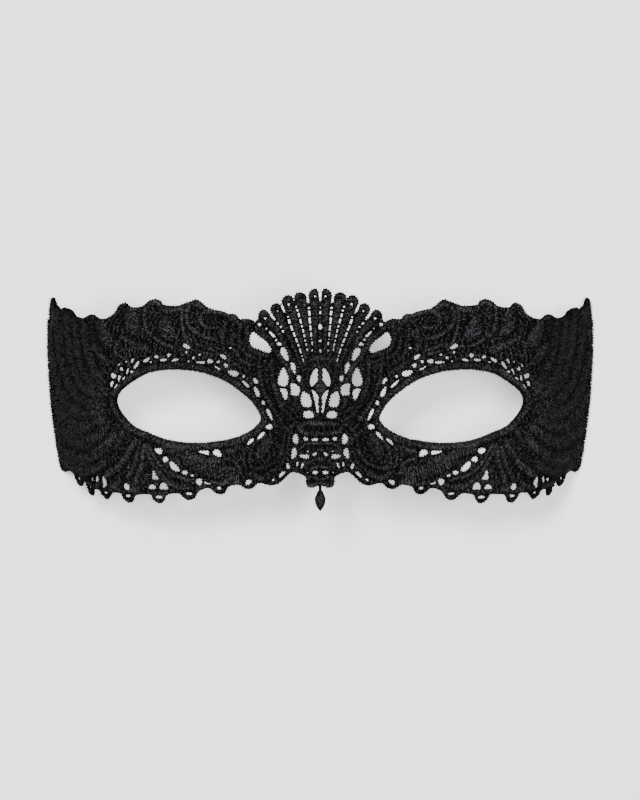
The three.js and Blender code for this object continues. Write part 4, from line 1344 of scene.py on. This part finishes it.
@dataclass(frozen=True)
class GroundFinish:
    """The dense under-stitching: deep black between the front threads, rows of bobbin thread on the back, whose
    lighter colour is painted light standing in for light on the shaded inner side.
    """

    name: str = "black_ground"
    colour: tuple[float, float, float] = (0.004, 0.004, 0.0043)
    painted_back_light: tuple[float, float, float] = (0.058, 0.06, 0.064)
    rough: float = 0.8
    specular: float = 0.006
    weave: float = 1400.0
    rows: tuple[float, float, float] = (0.8, 3.2, 1.0)
    bump: float = 0.00015

    def make(self) -> bpy.types.Material:
        """The material, uneven as thread that lies every way."""
        bench = Bench(self.name)
        place = bench.node("ShaderNodeTexCoord", {}, {}, "Object")
        grain = bench.node("ShaderNodeTexNoise", {}, {"Vector": place, "Scale": self.weave, "Detail": 2.0})
        back = bench.node("ShaderNodeAttribute", {"attribute_name": "tone_and_painted_light"}, {}, "Fac")
        row_map = bench.scaled(bench.map("thread_map"), self.rows)
        row = bench.node("ShaderNodeTexNoise", {}, {"Vector": row_map, "Scale": 0.9, "Detail": 2.0, "Distortion": 0.6})
        front_shade = bench.mix(grain, (0.001, 0.001, 0.001, 1), (*self.colour, 1))
        # Painted light: the back, which lies in shade, is painted lighter than the black front, in rows of bobbin
        # thread.
        back_light_mask = back * (0.4 + (row - 0.5) * 3.0 + (grain - 0.5) * 2.0)
        bench.feed(bench.shader.inputs["Base Color"], bench.mix(back_light_mask, front_shade, (*self.painted_back_light, 1)))
        bench.shader.inputs["Roughness"].default_value = self.rough
        bench.shader.inputs["Specular IOR Level"].default_value = self.specular
        bump = bench.node("ShaderNodeBump", {}, {"Height": grain + row, "Strength": 0.8, "Distance": self.bump})
        bench.feed(bench.shader.inputs["Normal"], bump)
        return bench.material


@dataclass(frozen=True)
class PaleFinish:
    """Plain pale table top, evenly lit from within."""

    name: str = "pale_table"
    colour: tuple[float, float, float] = (0.9, 0.9, 0.9)
    glow: float = 0.6

    def make(self) -> bpy.types.Material:
        """The material."""
        bench = Bench(self.name)
        bench.shader.inputs["Base Color"].default_value = (*self.colour, 1)
        bench.shader.inputs["Roughness"].default_value = 0.9
        bench.shader.inputs["Specular IOR Level"].default_value = 0.1
        bench.shader.inputs["Emission Color"].default_value = (1, 1, 1, 1)
        bench.shader.inputs["Emission Strength"].default_value = self.glow
        return bench.material


@dataclass
class Spun:
    """A small round piece on the middle line, wound with thread. Sizes in mm."""

    name: str
    form: Form
    profile: Points
    depth: float = 0.55
    winding: float = 0.5
    ridge: float = 0.06
    steps: int = 16

    def build(self) -> bpy.types.Object:
        """Spin the piece from its profile of places v and radii, and bend it into place.

        Returns:
            The piece.
        """
        line = smooth(self.profile, step=0.12)
        bpy.ops.mesh.primitive_circle_add(vertices=3, radius=0.1)
        made = bpy.context.active_object
        made.name = self.name
        mesh = made.data
        mesh.clear_geometry()
        wave = np.cos(2 * math.pi * line[:, 0] / self.winding)
        ripple = line[:, 1] + self.ridge * wave * np.clip(line[:, 1] * 2, 0, 1)
        radii = np.concatenate([[0], ripple, [0]])
        places = np.concatenate([line[:1, 0], line[:, 0], line[-1:, 0]])
        outline = [(r, v, 0) for r, v in zip(radii, places)]
        mesh.from_pydata(outline, [(i, i + 1) for i in range(len(outline) - 1)], [])
        bpy.ops.object.mode_set(mode="EDIT")
        bpy.ops.mesh.select_all(action="SELECT")
        bpy.ops.mesh.spin(steps=self.steps, angle=2 * math.pi, center=(0, 0, 0), axis=(0, 1, 0))
        bpy.ops.mesh.select_all(action="SELECT")
        bpy.ops.mesh.remove_doubles(threshold=0.001)
        bpy.ops.mesh.normals_make_consistent(inside=False)
        bpy.ops.object.mode_set(mode="OBJECT")
        flat = np.array([tuple(vertex.co) for vertex in mesh.vertices]) + (0, 0, self.depth)
        mesh.vertices.foreach_set("co", self.form.place(flat).astype(np.float32).ravel())
        mesh.polygons.foreach_set("use_smooth", np.ones(len(mesh.polygons), bool))
        layer = mesh.uv_layers.new(name="thread_map")
        corners = np.array([loop.vertex_index for loop in mesh.loops])
        spots = flat[corners]
        turn = np.arctan2(spots[:, 0], spots[:, 2] - self.depth) / (2 * math.pi)
        thread_map = np.stack([turn * 6, spots[:, 1] / self.winding], axis=1)
        layer.data.foreach_set("uv", thread_map.astype(np.float32).ravel())
        tone = mesh.attributes.new("tone_and_painted_light", "FLOAT", "POINT")
        # Painted light: the top of each spun piece is painted lighter and its sides in painted shade; the small wave
        # marks the winding.
        painted_facing_light = np.clip((flat[:, 2] - self.depth) / line[:, 1].max(), 0, 1)
        tone.data.foreach_set("value", (0.05 + 0.13 * painted_facing_light**2 + 0.04 * np.sin(flat[:, 1] * 9)).astype(np.float32))
        made.matrix_world.identity()
        return made


@dataclass
class Studio:
    """Camera, soft light and pale floor. Metres."""

    camera_distance: float = 1.5
    millimetres_per_pixel: float = 0.285
    picture_height: int = 800
    sensor: float = 36.0
    floor_size: float = 3.0

    def build(self, form: Form) -> None:
        """Put up the studio round a mask lying on the floor.

        Args:
            form: The form, for the height of the mask's front.
        """
        front = form.height() * MM
        seen = self.millimetres_per_pixel * self.picture_height * MM
        bpy.ops.object.camera_add(location=(-0.00006, 0, front + self.camera_distance), rotation=(0, 0, 0))
        camera = bpy.context.active_object
        camera.data.lens = self.sensor * self.camera_distance / seen
        camera.data.sensor_width = self.sensor
        camera.data.clip_start = 0.01
        bpy.context.scene.camera = camera
        bpy.ops.mesh.primitive_plane_add(size=self.floor_size, location=(0, 0, -0.0002))
        floor = bpy.context.active_object
        floor.name = "pale_floor"
        floor.data.materials.append(PaleFinish().make())
        self._light("key_light", (-0.22, 0.3, 1.45), 0.28, 30)
        self._light("fill_light", (0.25, -0.05, 1.45), 0.28, 19)
        world = bpy.data.worlds.new("studio_air")
        world.use_nodes = True
        world.node_tree.nodes["Background"].inputs["Color"].default_value = (1, 1, 1, 1)
        world.node_tree.nodes["Background"].inputs["Strength"].default_value = 0.08
        bpy.context.scene.world = world

    def _light(self, name: str, place: tuple[float, float, float], size: float, watts: float) -> None:
        """A square soft light that faces the mask.

        Args:
            name: The light's name.
            place: Where it hangs.
            size: Its side.
            watts: Its power.
        """
        bpy.ops.object.light_add(type="AREA", location=place)
        light = bpy.context.active_object
        light.name = name
        light.data.size = size
        light.data.energy = watts
        light.rotation_euler = (Vector((0, 0, 0.03)) - Vector(place)).to_track_quat("-Z", "Y").to_euler()


@dataclass
class Mask:
    """The whole mask: ground, stitches and small solid parts."""

    form: Form = field(default_factory=Form)
    drawing: Drawing = field(default_factory=Drawing)

    def build(self) -> list[bpy.types.Object]:
        """Make every piece.

        Returns:
            The pieces, the ground first.
        """
        self.drawing.build()
        LOG.info("drawing: %d edges, lace area %.5f m2", len(self.drawing.edges), self.drawing.area())
        rim_line = smooth(EYE, closed=True, step=0.45)
        way = unit(np.roll(rim_line, -1, axis=0) - np.roll(rim_line, 1, axis=0))
        out = way[:, ::-1] * (-1, 1)
        rim = Band(rim_line + out * EYE_RIM, (2, 2), 0.9, Direction.LEANING, True)
        groups = {"fan": FAN_BANDS, "nose": NOSE_BANDS, "brow": BROW_BANDS, "side": SIDE_BANDS,
                  "cheek": CHEEK_BANDS, "eye_rim": [rim]}
        relief = Relief(self.drawing, [one for group in groups.values() for one in group])
        relief.build()
        hand = Embroiderer(self.drawing, relief, self.form)
        pieces = [Ground(self.drawing, relief, self.form).build()]
        pieces.append(Spun("pendant_drop", self.form, DROP_PROFILE).build())
        for name, profile in STEMS.items():
            pieces.append(Spun(name, self.form, profile, depth=0.8, winding=1.3, ridge=0.15, steps=10).build())
        LOG.info("ground: %d faces", len(pieces[0].data.polygons))
        for mirror, half in ((1, "right"), (-1, "left")):
            for order, (name, bands) in enumerate(groups.items()):
                cloth = hand.work(f"{name}_stitches_{half}", SEED + 7 * order + mirror)
                cloth.shade, cloth.fade = SHADES[name], UPWARD_DARKENING[name]
                if name == "side":
                    cloth.overhang = -0.1
                if name == "eye_rim":
                    cloth.overhang = 0.3
                rng = np.random.default_rng(SEED + 100 * order + mirror)
                for one in bands:
                    hand.satin(cloth, one, mirror, rng)
                pieces.append(cloth.build())
            pieces.append(hand.ties(f"fan_ties_{half}", mirror))
            edges = hand.work(f"edge_stitches_{half}", SEED + 50 + mirror)
            edges.taper = 0.15
            edges.overhang = 0.5
            edges.radius = 0.26
            for number in range(len(self.drawing.edges)):
                if number == 0 or self.drawing.bound[number]:
                    hand.edging(edges, number, (mirror,))
            pieces.append(edges.build())
            filling = hand.work(f"fill_stitches_{half}", SEED + 60 + mirror)
            hand.fill(filling, (0, 102, -29, 32), mirror, np.random.default_rng(SEED + 70 + mirror))
            pieces.append(filling.build())
        return pieces

    def dress(self, pieces: list[bpy.types.Object]) -> None:
        """Give the pieces their thread and tie them to the frame.

        Args:
            pieces: What build returned.
        """
        thread = ThreadFinish().make()
        under = GroundFinish().make()
        for piece in pieces:
            piece.data.materials.append(under if piece is pieces[0] else thread)
            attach(piece, "root")
            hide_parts(NODE)
            LOG.info("%s: %d faces", piece.name, len(piece.data.polygons))
        self.drawing.area()


def main() -> None:
    """Build the mask and its studio."""
    logging.basicConfig(level=logging.INFO, format="%(name)s %(message)s")
    bpy.ops.object.select_all(action="DESELECT")
    mask = Mask()
    Studio().build(mask.form)
    bpy.ops.object.select_all(action="DESELECT")
    mask.dress(mask.build())


if __name__ == "__main__":
    main()
